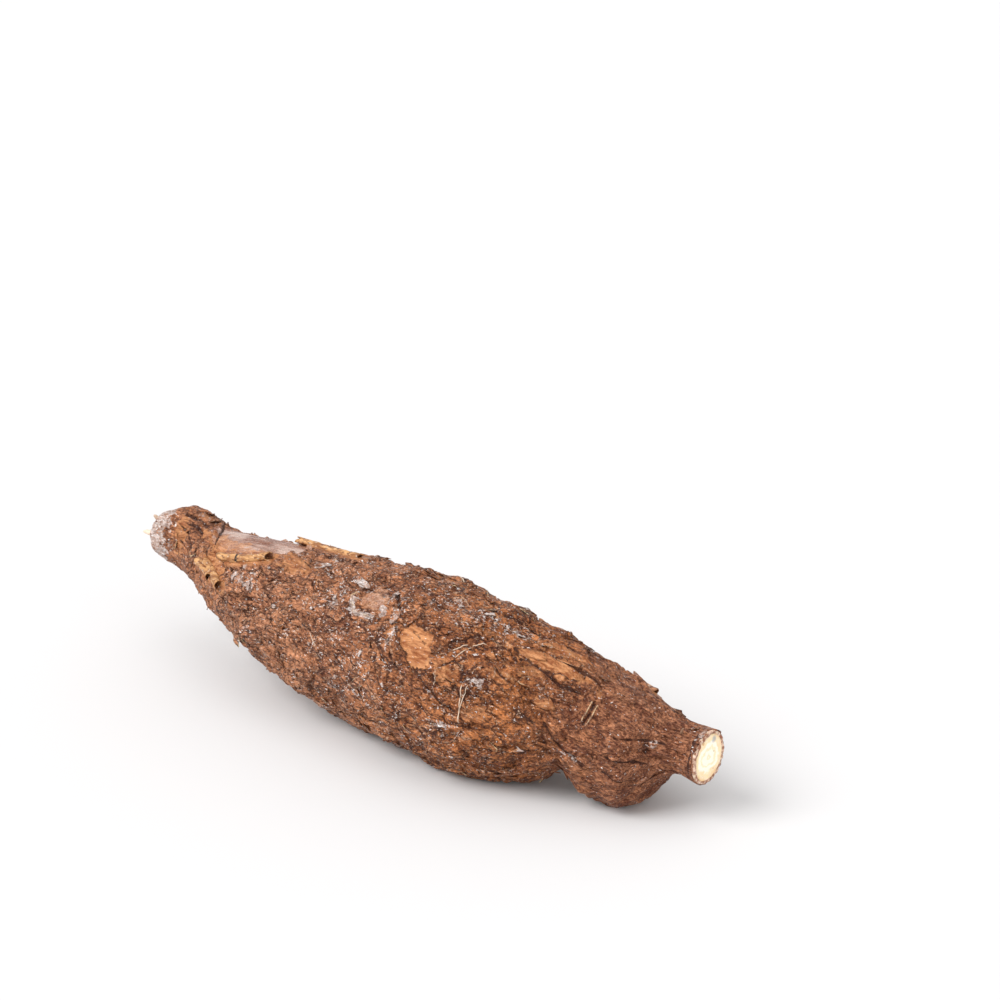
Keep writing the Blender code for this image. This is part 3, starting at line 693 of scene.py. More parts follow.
def mesh_object(name, places, faces, material, masks):
    """A smooth shown mesh that rides on the root, with one float layer for each mask."""
    mesh = bpy.data.meshes.new(name)
    mesh.from_pydata(((places - ROOT_MIDDLE) * MM).tolist(), [], faces)
    bm = bmesh.new()
    bm.from_mesh(mesh)
    bmesh.ops.recalc_face_normals(bm, faces=bm.faces)
    bm.to_mesh(mesh)
    bm.free()
    for layer_name, values in masks.items():
        layer = mesh.attributes.new(layer_name, "FLOAT", "POINT")
        layer.data.foreach_set("value", np.asarray(values, np.float32).ravel())
    mesh.shade_smooth()
    mesh.materials.append(material)
    made = bpy.data.objects.new(name, mesh)
    bpy.context.scene.collection.objects.link(made)
    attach(made, "root")
    return made


def tube_faces(rows, columns):
    """Faces of a closed skin: a first point, rows of columns points, and a last point."""
    faces = []
    for c in range(columns):
        after = (c + 1) % columns
        faces.append((0, 1 + after, 1 + c))
        for r in range(rows - 1):
            low, high = 1 + r * columns, 1 + (r + 1) * columns
            faces.append((low + c, low + after, high + after, high + c))
        end = 1 + (rows - 1) * columns
        faces.append((end + c, end + after, end + columns))
    return faces


def tubes(places, rings, sides):
    """Places and faces of one mesh from tubes of the same make."""
    one = tube_faces(rings, sides)
    size = rings * sides + 2
    faces = [tuple(k * size + v for v in face) for k in range(len(places)) for face in one]
    return np.concatenate(places), faces


def tube_places(middle, side, other, radius, sides):
    """Places of a tube round a middle line, across the two ways given, with a point at each end."""
    turn = np.arange(sides) * 2 * np.pi / sides
    across = side[..., None, :] * np.cos(turn)[:, None] + other[..., None, :] * np.sin(turn)[:, None]
    rings = middle[:, None] + across * radius[..., None]
    return np.concatenate([middle[:1], rings.reshape(-1, 3), middle[-1:]])


def sheet_faces(count, along, across):
    """Faces of closed sheets, each of along times across points above and as many below."""
    size = along * across
    top = [
        (r * across + c, r * across + c + 1, (r + 1) * across + c + 1, (r + 1) * across + c)
        for r in range(along - 1)
        for c in range(across - 1)
    ]
    rim = list(range(across))
    rim += [r * across + across - 1 for r in range(1, along)]
    rim += [(along - 1) * across + c for c in range(across - 2, -1, -1)]
    rim += [r * across for r in range(along - 2, 0, -1)]
    bottom = [tuple(size + v for v in reversed(face)) for face in top]
    sides = [(a, size + a, size + b, b) for a, b in zip(rim, rim[1:] + rim[:1])]
    one = np.array(top + bottom + sides)
    every = one[None] + (np.arange(count) * 2 * size)[:, None, None]
    return every.reshape(-1, 4).tolist()


def make_skin(material):
    """The bark, in closed pieces. Each dips under its neighbour past their shared ring."""
    cap = TIP.x - TIP_ROUNDING * np.cos(np.radians(90 * np.arange(1, TIP_ROWS) / TIP_ROWS))
    steps = round((NECK.x - TIP.x) / ROW_SPACING)
    xs = np.concatenate([cap, np.linspace(TIP.x, NECK.x, steps + 1)])
    angles = np.arange(COLUMNS) * 360.0 / COLUMNS
    first = 0
    for name, end_x in SKIN_PIECES:
        last = len(xs) - 1 if end_x is None else int(np.searchsorted(xs, end_x))
        low = max(first - OVERLAP_ROWS, 0)
        high = last if end_x is None else last + OVERLAP_ROWS
        x, angle = (a.ravel() for a in np.meshgrid(xs[low:high + 1], angles, indexing="ij"))
        bark = bark_at(x, angle)
        outside = np.maximum(xs[first] - x if low else 0.0 * x, 0.0)
        outside = np.maximum(outside, x - xs[last])
        places = lifted_off(bark, -OVERLAP_SINK * outside**2)
        begin, finish = low_end(xs[low], low == 0), high_end(places, angles, xs[high], end_x is None)
        everything = np.concatenate([*begin, places, *finish])
        masks = {}
        for mask in MASKS:
            values = getattr(bark, mask)
            before = np.resize(values[:COLUMNS], sum(map(len, begin)))
            after = np.resize(values[-COLUMNS:], sum(map(len, finish)))
            masks[mask] = np.concatenate([before, values, after])
        rows = (len(everything) - 2) // COLUMNS
        piece = mesh_object(name, everything, tube_faces(rows, COLUMNS), material, masks)
        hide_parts("cassava_root")
        first = last


def low_end(x, is_tip):
    """What closes a piece of skin at its low end: the tip's point, or a plain wall inside the root."""
    if is_tip:
        return [trunk_points(np.array([TIP.x - TIP_ROUNDING]), np.array([0.0]))]
    return [trunk_points(np.array([x]), np.array([0.0]), 0.0)]


def high_end(places, angles, x, is_neck):
    """What closes a piece at its high end: a plain wall inside the root, or the rim turned in behind the cut.

    At the neck it first tears the last row of the places it is given.
    """
    middle = trunk_points(np.array([x]), np.array([0.0]), 0.0)
    if not is_neck:
        return [middle]
    torn = 1.0 + 1.5 * np.clip(np.cos(np.radians(angles - 110)), 0, 1)
    places[-COLUMNS:, 0] += torn * (0.5 * soft_noise(places[-COLUMNS:] / 1.7, 81) + 0.2)
    turned = [
        trunk_points(np.full(COLUMNS, NECK.x), angles, share) + np.array((out, 0.0, 0.0))
        for share, out in TURNED_RIM
    ]
    return [*turned, middle + np.array((TURNED_RIM[-1][1], 0.0, 0.0))]


def sheet_grid(along, across):
    t, s = np.meshgrid(np.linspace(0, 1, along), np.linspace(-1, 1, across), indexing="ij")
    return t.ravel(), s.ravel()


def flake_seats(x_from, x_to, draw):
    """Places that flakes hang on by: on bark, off the floor, and fewer where the root is thin or smooth."""
    xs, angles = np.zeros(0), np.zeros(0)
    while len(xs) < FLAKE_COUNT:
        x = draw.uniform(x_from, x_to, FLAKE_COUNT)
        angle = draw.uniform(0.0, 360.0, FLAKE_COUNT)
        radius = mean_radius(x)
        kept = draw.uniform(0.0, FULL_RADIUS, FLAKE_COUNT) < radius * along_root(ROUGHNESS_OF_BARK, x)
        kept &= bareness(x, angle, radius)[0] < 0.35
        kept &= trunk_points(x, angle)[:, 2] > FLAKE_FLOOR_GAP
        xs, angles = np.concatenate([xs, x[kept]]), np.concatenate([angles, angle[kept]])
    return xs[:FLAKE_COUNT], angles[:FLAKE_COUNT]


def make_flakes(name, material, x_from, x_to, named, seed):
    """Thin flakes of bark, each fast at one end, that lie over the relief and lift at the other end."""
    draw = np.random.default_rng(seed)
    xs, angles = flake_seats(x_from, x_to, draw)
    xs[:len(named)] = [flake.x for flake in named]
    angles[:len(named)] = [flake.angle for flake in named]
    t, s = sheet_grid(FLAKE_GRID, FLAKE_GRID)
    shape = (FLAKE_COUNT, len(t))

    def each(low, high):
        return draw.uniform(low, high, FLAKE_COUNT)[:, None]

    def both(values):
        """The same values for the flakes' upper and lower sides."""
        return np.tile(np.broadcast_to(values, shape), (1, 2)).ravel()

    long_flakes = smooth_step(*LONG_FLAKES, xs)[:, None]
    size = each(0.3, 1.0) ** 1.6
    length = size * FLAKE_GROWTH * (1 + long_flakes) + FLAKE_SHORTEST
    width = length * each(0.45, 0.95) * (1 - 0.3 * long_flakes)
    heading = np.radians(each(-75, 75) * (1 - 0.55 * long_flakes) + 180 * (each(0, 1) > 0.5))
    lift = each(0.1, 1.0) ** 3 * 1.4 + 0.06
    waxy = np.zeros((FLAKE_COUNT, 1))
    for k, flake in enumerate(named):
        length[k], width[k], heading[k] = flake.length, flake.width, math.radians(flake.heading)
        lift[k], waxy[k] = flake.lift, flake.wax
    cup = each(-0.2, 0.5)

    rim = ((t == 1) | (np.abs(s) == 1)).astype(float)
    reach = length * t * (1 - 0.25 * s**2) + 0.10 * length * draw.uniform(-1, 1, shape) * rim
    swelling = 0.85 + 0.9 * t * (1 - t) - 0.15 * t
    side = s * width / 2 * swelling + 0.08 * width * draw.uniform(-1, 1, shape) * rim
    radius = mean_radius(xs)[:, None]
    x = xs[:, None] + reach * np.cos(heading) - side * np.sin(heading)
    angle = angles[:, None] + np.degrees((reach * np.sin(heading) + side * np.cos(heading)) / radius)
    x = np.clip(x, TIP.x - 3.0, NECK.x - 0.5)

    bark = bark_at(x.ravel(), angle.ravel() % 360.0)
    own = bark.height.reshape(shape)
    fast = own[:, :1] * (1 - t) + own.mean(axis=1, keepdims=True) * t
    stand = lift * t**1.5 + cup * s**2 * width * 0.1 * t - 0.35 * (1 - t) ** 2
    height = (np.maximum(own - 0.1, fast) + stand).ravel()
    top, bottom = (
        lifted_off(bark._replace(height=height - under)).reshape(*shape, 3)
        for under in (0.0, FLAKE_THICKNESS)
    )
    places = np.concatenate([top, bottom], axis=1).reshape(-1, 3)
    masks = {mask: getattr(bark, mask).reshape(shape) for mask in MASKS}
    masks["tone"] = masks["tone"].mean(axis=1, keepdims=True) + each(-0.12, 0.22)
    # Pale rims, more where a flake lifts: wear, and a painted highlight on the lifted rim.
    masks["edge"] = rim * each(0.2, 1.0) * np.clip(lift, 0.3, 1.0)
    masks["crack"] = 0.35 * (1 - t)
    masks["skin"] = 0.0
    masks["tan"] = np.maximum(0.6 * (each(0, 1) > 0.95), masks["tan"])
    masks["spot"] = np.maximum(masks["spot"], waxy)
    masks = {mask: both(values) for mask, values in masks.items()}
    flakes = mesh_object(name, places, sheet_faces(FLAKE_COUNT, FLAKE_GRID, FLAKE_GRID), material, masks)


def roll_seat(x, angle):
    """Height of the surface under a roll, smoothed along it."""
    seat = bark_at(x, angle).height.reshape(ROLL_ALONG, ROLL_ACROSS)[:, 0]
    seat = np.convolve(np.pad(seat, 4, mode="edge"), np.ones(9) / 9, "valid")
    return np.repeat(seat, ROLL_ACROSS)


def make_rolls(material):
    """The strips of loose bark, rolled up round their own length."""
    t, s = sheet_grid(ROLL_ALONG, ROLL_ACROSS)
    places, inside, split, brown = [], [], [], []
    for number, curl in enumerate(CURLS):
        half_turn = math.radians(curl.turn) / 2
        x, angle = along_line(curl.start, curl.end, t)
        normal = trunk_normals(x, angle)
        run = trunk_points(*map(float, curl.end)) - trunk_points(*map(float, curl.start))
        across_way = unit(np.cross(normal, run))
        lift = curl.lift_start + (curl.lift_end - curl.lift_start) * t - 4 * t * (1 - t) * CURL_SAG
        lift = lift + roll_seat(x, angle) - curl.radius * math.cos(min(half_turn, math.pi)) - CURL_BITE
        middle = trunk_points(x, angle) + normal * lift[:, None]
        tear = 0.10 * soft_noise(np.stack([s * 3, np.full_like(s, number), np.round(t)], axis=-1), 91)
        ends = tear * np.abs(2 * t - 1) ** 6
        middle = middle + ends[:, None] * run * 0.6
        radius = curl.radius * (1.0 + 0.08 * np.sin(7.0 * t + number) + 0.10 * soft_noise(middle / 2.5, 92))
        creases = np.stack([t * 12, s * 5, np.full_like(t, number)], axis=-1)
        radius = (radius + 0.22 * soft_noise(creases, 93)) * (1 - 0.1 * (s + 1) / 2)
        roll = s * half_turn * (1.0 + 0.06 * np.sin(5 * t + 2 * number))
        out = normal * np.cos(roll)[:, None] + across_way * np.sin(roll)[:, None]
        places += [middle + out * radius[:, None], middle + out * (radius - CURL_THICKNESS)[:, None]]
        inside += [np.zeros(len(t)), np.ones(len(t))]
        brown += [np.full(len(t), float(number in BROWN_CURLS)), np.zeros(len(t))]
        split += 2 * [np.exp(-(((t - 0.42) / 0.025) ** 2)) * (number == SPLIT_CURL)]
    places = np.concatenate(places)
    places[:, 2] = np.maximum(places[:, 2], 0.0)
    masks = {"inside": np.concatenate(inside), "split": np.concatenate(split), "brown": np.concatenate(brown)}
    mesh_object("bark_rolls", places, sheet_faces(len(CURLS), ROLL_ALONG, ROLL_ACROSS), material, masks)


def make_rootlets(material):
    """Thin rootlets that taper and bend as they leave the root."""
    rings, sides = 12, 10
    t, turn = np.meshgrid(np.linspace(0, 1, rings), np.arange(sides) * 2 * np.pi / sides, indexing="ij")
    places, pale = [], []
    for number, rootlet in enumerate(ROOTLETS):
        bark = bark_at(np.array([float(rootlet.x)]), np.array([float(rootlet.angle)]))
        normal = bark.normal[0]
        side = unit(np.cross(normal, (1.0, 0.0, 0.0)))
        base = lifted_off(bark)[0] - normal * ROOTLET_SUNK
        middle = base + normal * (t[:, :1] * (rootlet.length + ROOTLET_SUNK))
        middle[:, 0] += rootlet.lean * rootlet.length * t[:, 0] ** 2 / 2
        knobbly = 1 + 0.15 * soft_noise(np.stack([t * 7, turn, np.full_like(t, number)], axis=-1), 95)
        radius = rootlet.radius * (1 - 0.55 * t) * knobbly * np.sqrt(np.clip(1 - t**8, 0.05, 1))
        places.append(tube_places(middle, side, np.cross(normal, side), radius, sides))
        pale.append(np.full(len(places[-1]), rootlet.pale))
    mesh_object("rootlets", *tubes(places, rings, sides), material, {"pale": np.concatenate(pale)})


def rind_inside(angles):
    """Where the flesh ends, as a share of the neck's radius: the rind is widest at the top front."""
    return 0.88 - 0.17 * np.clip(np.cos(np.radians(angles - 150)), 0, 1)


def make_cut(flesh_material, rind_material):
    """The flesh of the cut face and the pale rind round it."""
    columns = CUT_COLUMNS
    angles = np.arange(columns) * 360.0 / columns
    neck_x = np.full(columns, NECK.x)
    centre = trunk_points(neck_x, angles, 0.0)
    edge = trunk_points(neck_x, angles)
    inside = rind_inside(angles)

    def ring(share, out):
        places = centre + (edge - centre) * np.broadcast_to(share, columns)[:, None]
        places[:, 0] += out
        return places

    rows = []
    for share in np.linspace(0.02, 1.0, FLESH_RINGS):
        places = ring(share * inside, FLESH_OUT)
        growth = 0.06 * np.sin(share * 42) + 0.10 * soft_noise(places / 1.1, 101)
        places[:, 0] += growth - 0.3 * smooth_step(0.93, 1.0, share)
        rows.append(places)
    rows += [ring(inside + 0.005, -0.2), ring(inside, CUT_BACK)]
    places = np.concatenate([ring(0.0, FLESH_OUT)[:1], *rows, ring(0.0, CUT_BACK)[:1]])
    mesh_object("cut_flesh", places, tube_faces(len(rows), columns), flesh_material, {})

    rows = []
    for part, out in RIND_PROFILE:
        places = ring(inside + (1.0 - inside) * part, out)
        places[:, 0] += 0.35 * soft_noise(places / 1.2, 102)
        rows.append(places)
    faces = []
    for r in range(len(rows)):
        for c in range(columns):
            after, below = (c + 1) % columns, (r + 1) % len(rows)
            faces.append((r * columns + c, r * columns + after, below * columns + after, below * columns + c))
    mesh_object("cut_rind", np.concatenate(rows), faces, rind_material, {})


def make_fibres(material):
    """Thin pale fibres that lie on the bark."""
    rings, sides = 14, 6
    t = np.linspace(0.0, 1.0, rings)
    places = []
    for number, fibre in enumerate(FIBRES):
        x, angle = along_line(fibre.start, fibre.end, t)
        bow = np.sin(np.pi * t) * math.sin(3.1 * number)
        bark = bark_at(x + 0.8 * bow, angle % 360.0)
        middle = lifted_off(bark, fibre.radius * 0.6 + 0.25 * np.sin(np.pi * t))
        side = unit(np.cross(bark.normal, unit(np.gradient(middle, axis=0))))
        radius = fibre.radius * np.sqrt(np.clip(1 - (2 * t - 1) ** 8, 0.1, 1))
        places.append(tube_places(middle, side, bark.normal, radius[:, None], sides))
    places, faces = tubes(places, rings, sides)
    mesh_object("fibres", places, faces, material, {"pale": np.full(len(places), 0.75)})


class Shader:
    """Short ways to build one material's nodes. Places in it are in millimetres."""

    def __init__(self, name):
        self.material = bpy.data.materials.new(name)
        self.material.use_nodes = True
        self.tree = self.material.node_tree
        self.bsdf = self.tree.nodes["Principled BSDF"]
        where = self.add("ShaderNodeTexCoord", {}).outputs["Object"]
        self.place = self.add("ShaderNodeMapping", {"Vector": where, "Scale": (1000, 1000, 1000)}).outputs[0]

    def add(self, kind, inputs, **settings):
        made = self.tree.nodes.new(kind)
        for name, value in settings.items():
            setattr(made, name, value)
        for name, value in inputs.items():
            if isinstance(value, bpy.types.NodeSocket):
                self.tree.links.new(value, made.inputs[name])
            else:
                made.inputs[name].default_value = value
        return made

    def mask(self, name):
        return self.add("ShaderNodeAttribute", {}, attribute_name=name).outputs["Fac"]

    def maths(self, operation, a, b=0.0):
        return self.add("ShaderNodeMath", {0: a, 1: b}, operation=operation).outputs[0]

    def plus(self, a, b):
        return self.maths("ADD", a, b)

    def minus(self, a, b):
        return self.maths("SUBTRACT", a, b)

    def most(self, a, b):
        return self.maths("MAXIMUM", a, b)

    def times(self, first, *others):
        for other in others:
            first = self.maths("MULTIPLY", first, other)
        return first

    def vectors(self, operation, a, b=(0.0, 0.0, 0.0)):
        """Vector maths: a number for a length or a distance, and else a vector."""
        output = "Value" if operation in ("LENGTH", "DISTANCE") else "Vector"
        return self.add("ShaderNodeVectorMath", {0: a, 1: b}, operation=operation).outputs[output]

    def spread(self, value, low, high, to_low=0.0, to_high=1.0):
        """The value's stretch from low to high, laid out from to_low to to_high."""
        inputs = {"Value": value, "From Min": low, "From Max": high, "To Min": to_low, "To Max": to_high}
        return self.add("ShaderNodeMapRange", inputs, clamp=True).outputs["Result"]

    def mix(self, share, a, b, blend="MIX"):
        made = self.add("ShaderNodeMix", {}, data_type="RGBA", blend_type=blend)
        for number, value in ((0, share), (6, a), (7, b)):
            if isinstance(value, bpy.types.NodeSocket):
                self.tree.links.new(value, made.inputs[number])
            else:
                made.inputs[number].default_value = (*value, 1.0) if isinstance(value, tuple) else value
        return made.outputs[2]

    def clouds(self, size, detail=3.0, stretch=(1.0, 1.0, 1.0), distortion=0.0):
        """Noise with swells of about that many millimetres, drawn out by stretch."""
        scale = tuple(1.0 / (size * s) for s in stretch)
        place = self.add("ShaderNodeMapping", {"Vector": self.place, "Scale": scale}).outputs[0]
        inputs = {"Vector": place, "Scale": 1.0, "Detail": detail, "Roughness": 0.6, "Distortion": distortion}
        return self.add("ShaderNodeTexNoise", inputs).outputs["Fac"]

    def grain_lines(self, size, count, width, stretch, distortion=0.0):
        """Thin wavy lines like those of flat-sawn wood, 1 on a line: count of them in a noise's range."""
        swells = self.clouds(size, 1.0, stretch, distortion)
        wave = self.maths("FRACT", self.times(swells, count))
        return self.spread(self.maths("ABSOLUTE", self.minus(wave, 0.5)), width, 0.0)

    def plates(self, size, warp, number):
        """Plates of that size: the distance from a plate's edge, 0 on it, and a grey of each plate's own."""
        inputs = {
            "Vector": self.place,
            "Location": (number * 7.3,) * 3,
            "Scale": tuple(1.0 / side for side in size),
        }
        where = self.add("ShaderNodeMapping", inputs).outputs[0]
        inputs = {"Vector": where, "Scale": 1.3, "Detail": 4.0, "Roughness": 0.65}
        bends = self.add("ShaderNodeTexNoise", inputs)
        inputs = {"Vector": self.mix(warp, where, bends.outputs["Color"], "LINEAR_LIGHT"), "Scale": 1.0}
        edge, cell = (
            self.add("ShaderNodeTexVoronoi", inputs, feature=feature)
            for feature in ("DISTANCE_TO_EDGE", "F1")
        )
        grey = self.add("ShaderNodeSeparateColor", {"Color": cell.outputs["Color"]}).outputs[0]
        return edge.outputs["Distance"], grey

    def ragged(self, mask, low, high, size=0.9, amount=0.5):
        """The mask with a crisp, torn edge between low and high."""
        shift = self.spread(self.clouds(size, 3.0), 0.25, 0.75, -amount / 2, amount / 2)
        return self.spread(self.plus(mask, shift), low, high)

    def bump(self, height, depth, strength=1.0, under=None):
        """A bump of that many millimetres. A depth below 0 presses the high places in."""
        inputs = {"Height": height, "Distance": abs(depth) * MM, "Strength": strength}
        if under is not None:
            inputs["Normal"] = under
        return self.add("ShaderNodeBump", inputs, invert=depth < 0).outputs["Normal"]

    def finish(self, **inputs):
        for name, value in inputs.items():
            socket = self.bsdf.inputs[name.replace("_", " ")]
            if isinstance(value, bpy.types.NodeSocket):
                self.tree.links.new(value, socket)
            else:
                socket.default_value = value
        return self.material


# Colours. A pair runs from dark to light.
COOL_BARK = (0.115, 0.030, 0.012), (0.61, 0.280, 0.155)
HOT_BARK = (0.115, 0.026, 0.007), (0.59, 0.205, 0.060)
GRAIN_LINE = (0.075, 0.020, 0.009)
# Near-black of the cracks: partly their own dark, partly painted shade in them.
CRACK_AND_SHADE = (0.045, 0.013, 0.008)
# Pale edges and lips: wear, and painted highlights where ridges catch the light.
WORN_AND_LIT_EDGE = (0.74, 0.50, 0.34)
PALE_LIP_AND_HIGHLIGHT = (0.88, 0.66, 0.38)
UNDER_BARK = (0.26, 0.072, 0.018), (0.63, 0.285, 0.120)
MAUVE_SKIN = (0.27, 0.100, 0.055), (0.65, 0.455, 0.380)
SKIN_CREASE = (0.20, 0.075, 0.050)
WAX_FILM = (0.45, 0.32, 0.26), (0.80, 0.69, 0.65)
# White specks: wax, and painted glints.
WAX_SPECK_AND_GLINT = (0.60, 0.50, 0.47), (0.92, 0.88, 0.86)
ROLL_OUTSIDE = (0.24, 0.085, 0.025), (0.62, 0.335, 0.140)
# Dark inside of a roll: painted shade.
SHADED_ROLL_INSIDE = (0.10, 0.030, 0.012), (0.20, 0.070, 0.025)
ROLL_BARK_SIDE = (0.10, 0.028, 0.012), (0.42, 0.185, 0.095)
# The last of these, the near-black of the split across a roll, is painted shade in the gap.
ROLL_MARK, ROLL_FLECK, ROLL_SPLIT_SHADE = (0.13, 0.040, 0.015), (0.82, 0.70, 0.56), (0.015, 0.008, 0.006)
ROOTLET_BROWN = (0.12, 0.05, 0.03), (0.38, 0.20, 0.11)
ROOTLET_CREAM = (0.62, 0.42, 0.28), (0.90, 0.78, 0.64)
FLESH, GROWTH_RING, FLESH_BY_RIND = (1.0, 0.95, 0.80), (0.97, 0.75, 0.38), (0.86, 0.56, 0.24)
RIND = (0.30, 0.110, 0.050), (0.84, 0.62, 0.47)


def bark_tone(shader, plate_grey, chip_grey, fine, grit):
    """How light the bark is: the mesh's own tone, a grey for each plate and chip, and finer noise."""
    tone = shader.mask("tone")
    scaly = shader.spread(shader.mask("coarse"), 0.3, 0.9, 0.4, 1.0)
    broad = shader.clouds(15.0, 3.0, (1.6, 1.0, 1.0))
    for source, low, high, reach in (
        (broad, 0.28, 0.72, 0.18),
        (plate_grey, 0.0, 1.0, 0.22),
        (chip_grey, 0.0, 1.0, 0.12),
    ):
        tone = shader.plus(tone, shader.times(shader.spread(source, low, high, -reach, reach), scaly))
    for source, low, high, reach in ((fine, 0.30, 0.70, 0.26), (grit, 0.38, 0.62, 0.36)):
        tone = shader.plus(tone, shader.spread(source, low, high, -reach, reach))
    return shader.spread(tone, 0.0, 1.0)


def bark_grain(shader):
    """Dark lines of grain and of fibres, fewer on tan places."""
    grain = shader.grain_lines(9.0, 15.0, 0.14, (3.2, 1.0, 1.0), 0.5)
    fibres = shader.grain_lines(2.2, 9.0, 0.20, (3.8, 1.0, 1.0), 0.8)
    there = shader.spread(shader.clouds(6.0, 2.0), 0.42, 0.58)
    lines = shader.most(shader.times(grain, there), shader.times(fibres, 0.75))
    return shader.times(lines, shader.spread(shader.mask("tan"), 0.5, 0.9, 1.0, 0.3))


def with_bare_places(shader, colour):
    """The colour with tan under-bark and mauve skin over it, and where the skin is."""
    streaks = shader.clouds(1.8, 4.0, (4.5, 1.0, 1.0), 0.5)
    tan = shader.mix(shader.spread(streaks, 0.36, 0.60), *UNDER_BARK)
    colour = shader.mix(shader.ragged(shader.mask("tan"), 0.20, 0.70), colour, tan)
    skin_tone = shader.clouds(7.0, 5.0, (3.0, 1.0, 1.0), 0.3)
    skin = shader.mix(shader.spread(skin_tone, 0.42, 0.60), *MAUVE_SKIN)
    creases = shader.grain_lines(6.0, 9.0, 0.10, (4.0, 1.0, 1.0), 0.4)
    skin = shader.mix(shader.times(creases, 0.25), skin, SKIN_CREASE)
    tanned = shader.times(shader.ragged(shader.mask("tan"), 0.2, 0.9, 4.0, 0.4), 0.8)
    skin = shader.mix(tanned, skin, tan)
    bare = shader.ragged(shader.mask("skin"), 0.35, 0.65)
    return shader.mix(bare, colour, skin), bare


def bark_cracks(shader, plate_edge, chip_edge, barked, open_here):
    """Cracks between plates and between chips, where they are open, and those that the mesh marks, which also
    carry painted shade at steps, under rims and in grooves.
    """
    chips_here = shader.spread(shader.clouds(4.0, 2.0), 0.46, 0.56)
    plate_crack = shader.times(shader.spread(plate_edge, 0.085, 0.02), open_here)
    chip_crack = shader.times(shader.spread(chip_edge, 0.16, 0.04), chips_here, 0.75)
    net = shader.times(shader.most(plate_crack, chip_crack), barked)
    return shader.most(net, shader.ragged(shader.mask("crack"), 0.42, 0.70))


def with_worn_and_lit_edges(shader, colour, beside):
    """The colour with pale edges, worn and painted as highlights, beside the cracks and where the mesh marks
    them.
    """
    worn = shader.most(shader.mask("edge"), shader.times(beside, 0.8))
    worn = shader.ragged(worn, 0.58, 0.85, 0.7, 0.9)
    # Pale worn edges, which also paint the highlights on ridges and lips.
    colour = shader.mix(shader.times(worn, 0.60), colour, WORN_AND_LIT_EDGE)
    return shader.mix(shader.spread(shader.mask("edge"), 0.80, 0.95), colour, PALE_LIP_AND_HIGHLIGHT)


def with_wax_and_glints(shader, colour, barked, beside, fine, grit):
    """The colour with a greyish film on the marked places, and white specks of wax that also paint glints,
    more of them by edges.
    """
    thin = shader.spread(shader.clouds(2.6, 3.0), 0.38, 0.56, 0.40, 0.85)
    film = shader.times(shader.ragged(shader.mask("spot"), 0.50, 0.66, 1.8, 1.1), thin)
    colour = shader.mix(film, colour, shader.mix(shader.spread(fine, 0.4, 0.6), *WAX_FILM))
    patchy = shader.spread(shader.clouds(8.0, 2.0), 0.40, 0.62)
    wax = shader.times(patchy, shader.mask("wax"), barked)
    limit = shader.spread(wax, 0.0, 1.0, 0.68, 0.575)
    for helper, amount in ((shader.mask("spot"), 0.09), (shader.times(beside, wax), 0.12)):
        limit = shader.minus(limit, shader.times(helper, amount))
    # White specks: wax flecks and painted glints, more of them beside the cracks' edges.
    speck = shader.clouds(0.9, 2.0, (1.7, 1.0, 1.0), 0.8)
    specks_and_glints = shader.spread(shader.minus(speck, limit), 0.0, 0.03)
    return shader.mix(specks_and_glints, colour, shader.mix(shader.spread(grit, 0.4, 0.6), *WAX_SPECK_AND_GLINT))


def bark_material():
    """Plates of bark between thin dark cracks with painted shade in them, with grain, pale edges worn and
    painted as highlights, tan under-bark, mauve skin, and wax specks that also paint glints.
    """
    shader = Shader("bark")
    plate_edge, plate_grey = shader.plates((10.0, 4.6, 4.6), 0.45, 1)
    chip_edge, chip_grey = shader.plates((4.6, 1.8, 1.8), 0.50, 2)
    fine = shader.clouds(1.3, 4.0, (3.0, 1.0, 1.0), 0.6)
    grit = shader.clouds(0.7, 2.0, (2.8, 1.0, 1.0), 0.3)

    tone = bark_tone(shader, plate_grey, chip_grey, fine, grit)
    colour = shader.mix(shader.mask("warm"), shader.mix(tone, *COOL_BARK), shader.mix(tone, *HOT_BARK))
    lines = bark_grain(shader)
    colour = shader.mix(shader.times(lines, 0.66), colour, GRAIN_LINE)
    colour, bare = with_bare_places(shader, colour)

    barked = shader.times(
        shader.spread(shader.mask("tan"), 0.7, 0.3),
        shader.minus(1.0, bare),
        shader.spread(shader.mask("coarse"), 0.2, 0.9, 0.35, 1.0),
    )
    open_here = shader.spread(shader.clouds(5.0, 2.0), 0.40, 0.56)
    crack = bark_cracks(shader, plate_edge, chip_edge, barked, open_here)
    # The cracks are painted near-black: their own dark, with painted shade in them and along the marked shade
    # lines.
    colour = shader.mix(shader.times(crack, 0.9), colour, CRACK_AND_SHADE)
    falling, rising = shader.spread(plate_edge, 0.24, 0.12), shader.spread(plate_edge, 0.06, 0.12)
    beside = shader.times(falling, rising, barked, open_here)
    colour = with_worn_and_lit_edges(shader, colour, beside)
    colour = with_wax_and_glints(shader, colour, barked, beside, fine, grit)

    rough = shader.spread(shader.clouds(1.5), 0.3, 0.7, 0.25, 0.60)
    rough = shader.minus(rough, shader.times(shader.mask("skin"), 0.20))
    normal = shader.bump(crack, -0.45, 0.9)
    for height, depth, strength in ((lines, -0.30, 0.8), (fine, 0.75, 1.0), (grit, 0.75, 1.0)):
        normal = shader.bump(height, depth, strength, normal)
    return shader.finish(Base_Color=colour, Roughness=rough, Normal=normal, Specular_IOR_Level=0.25)


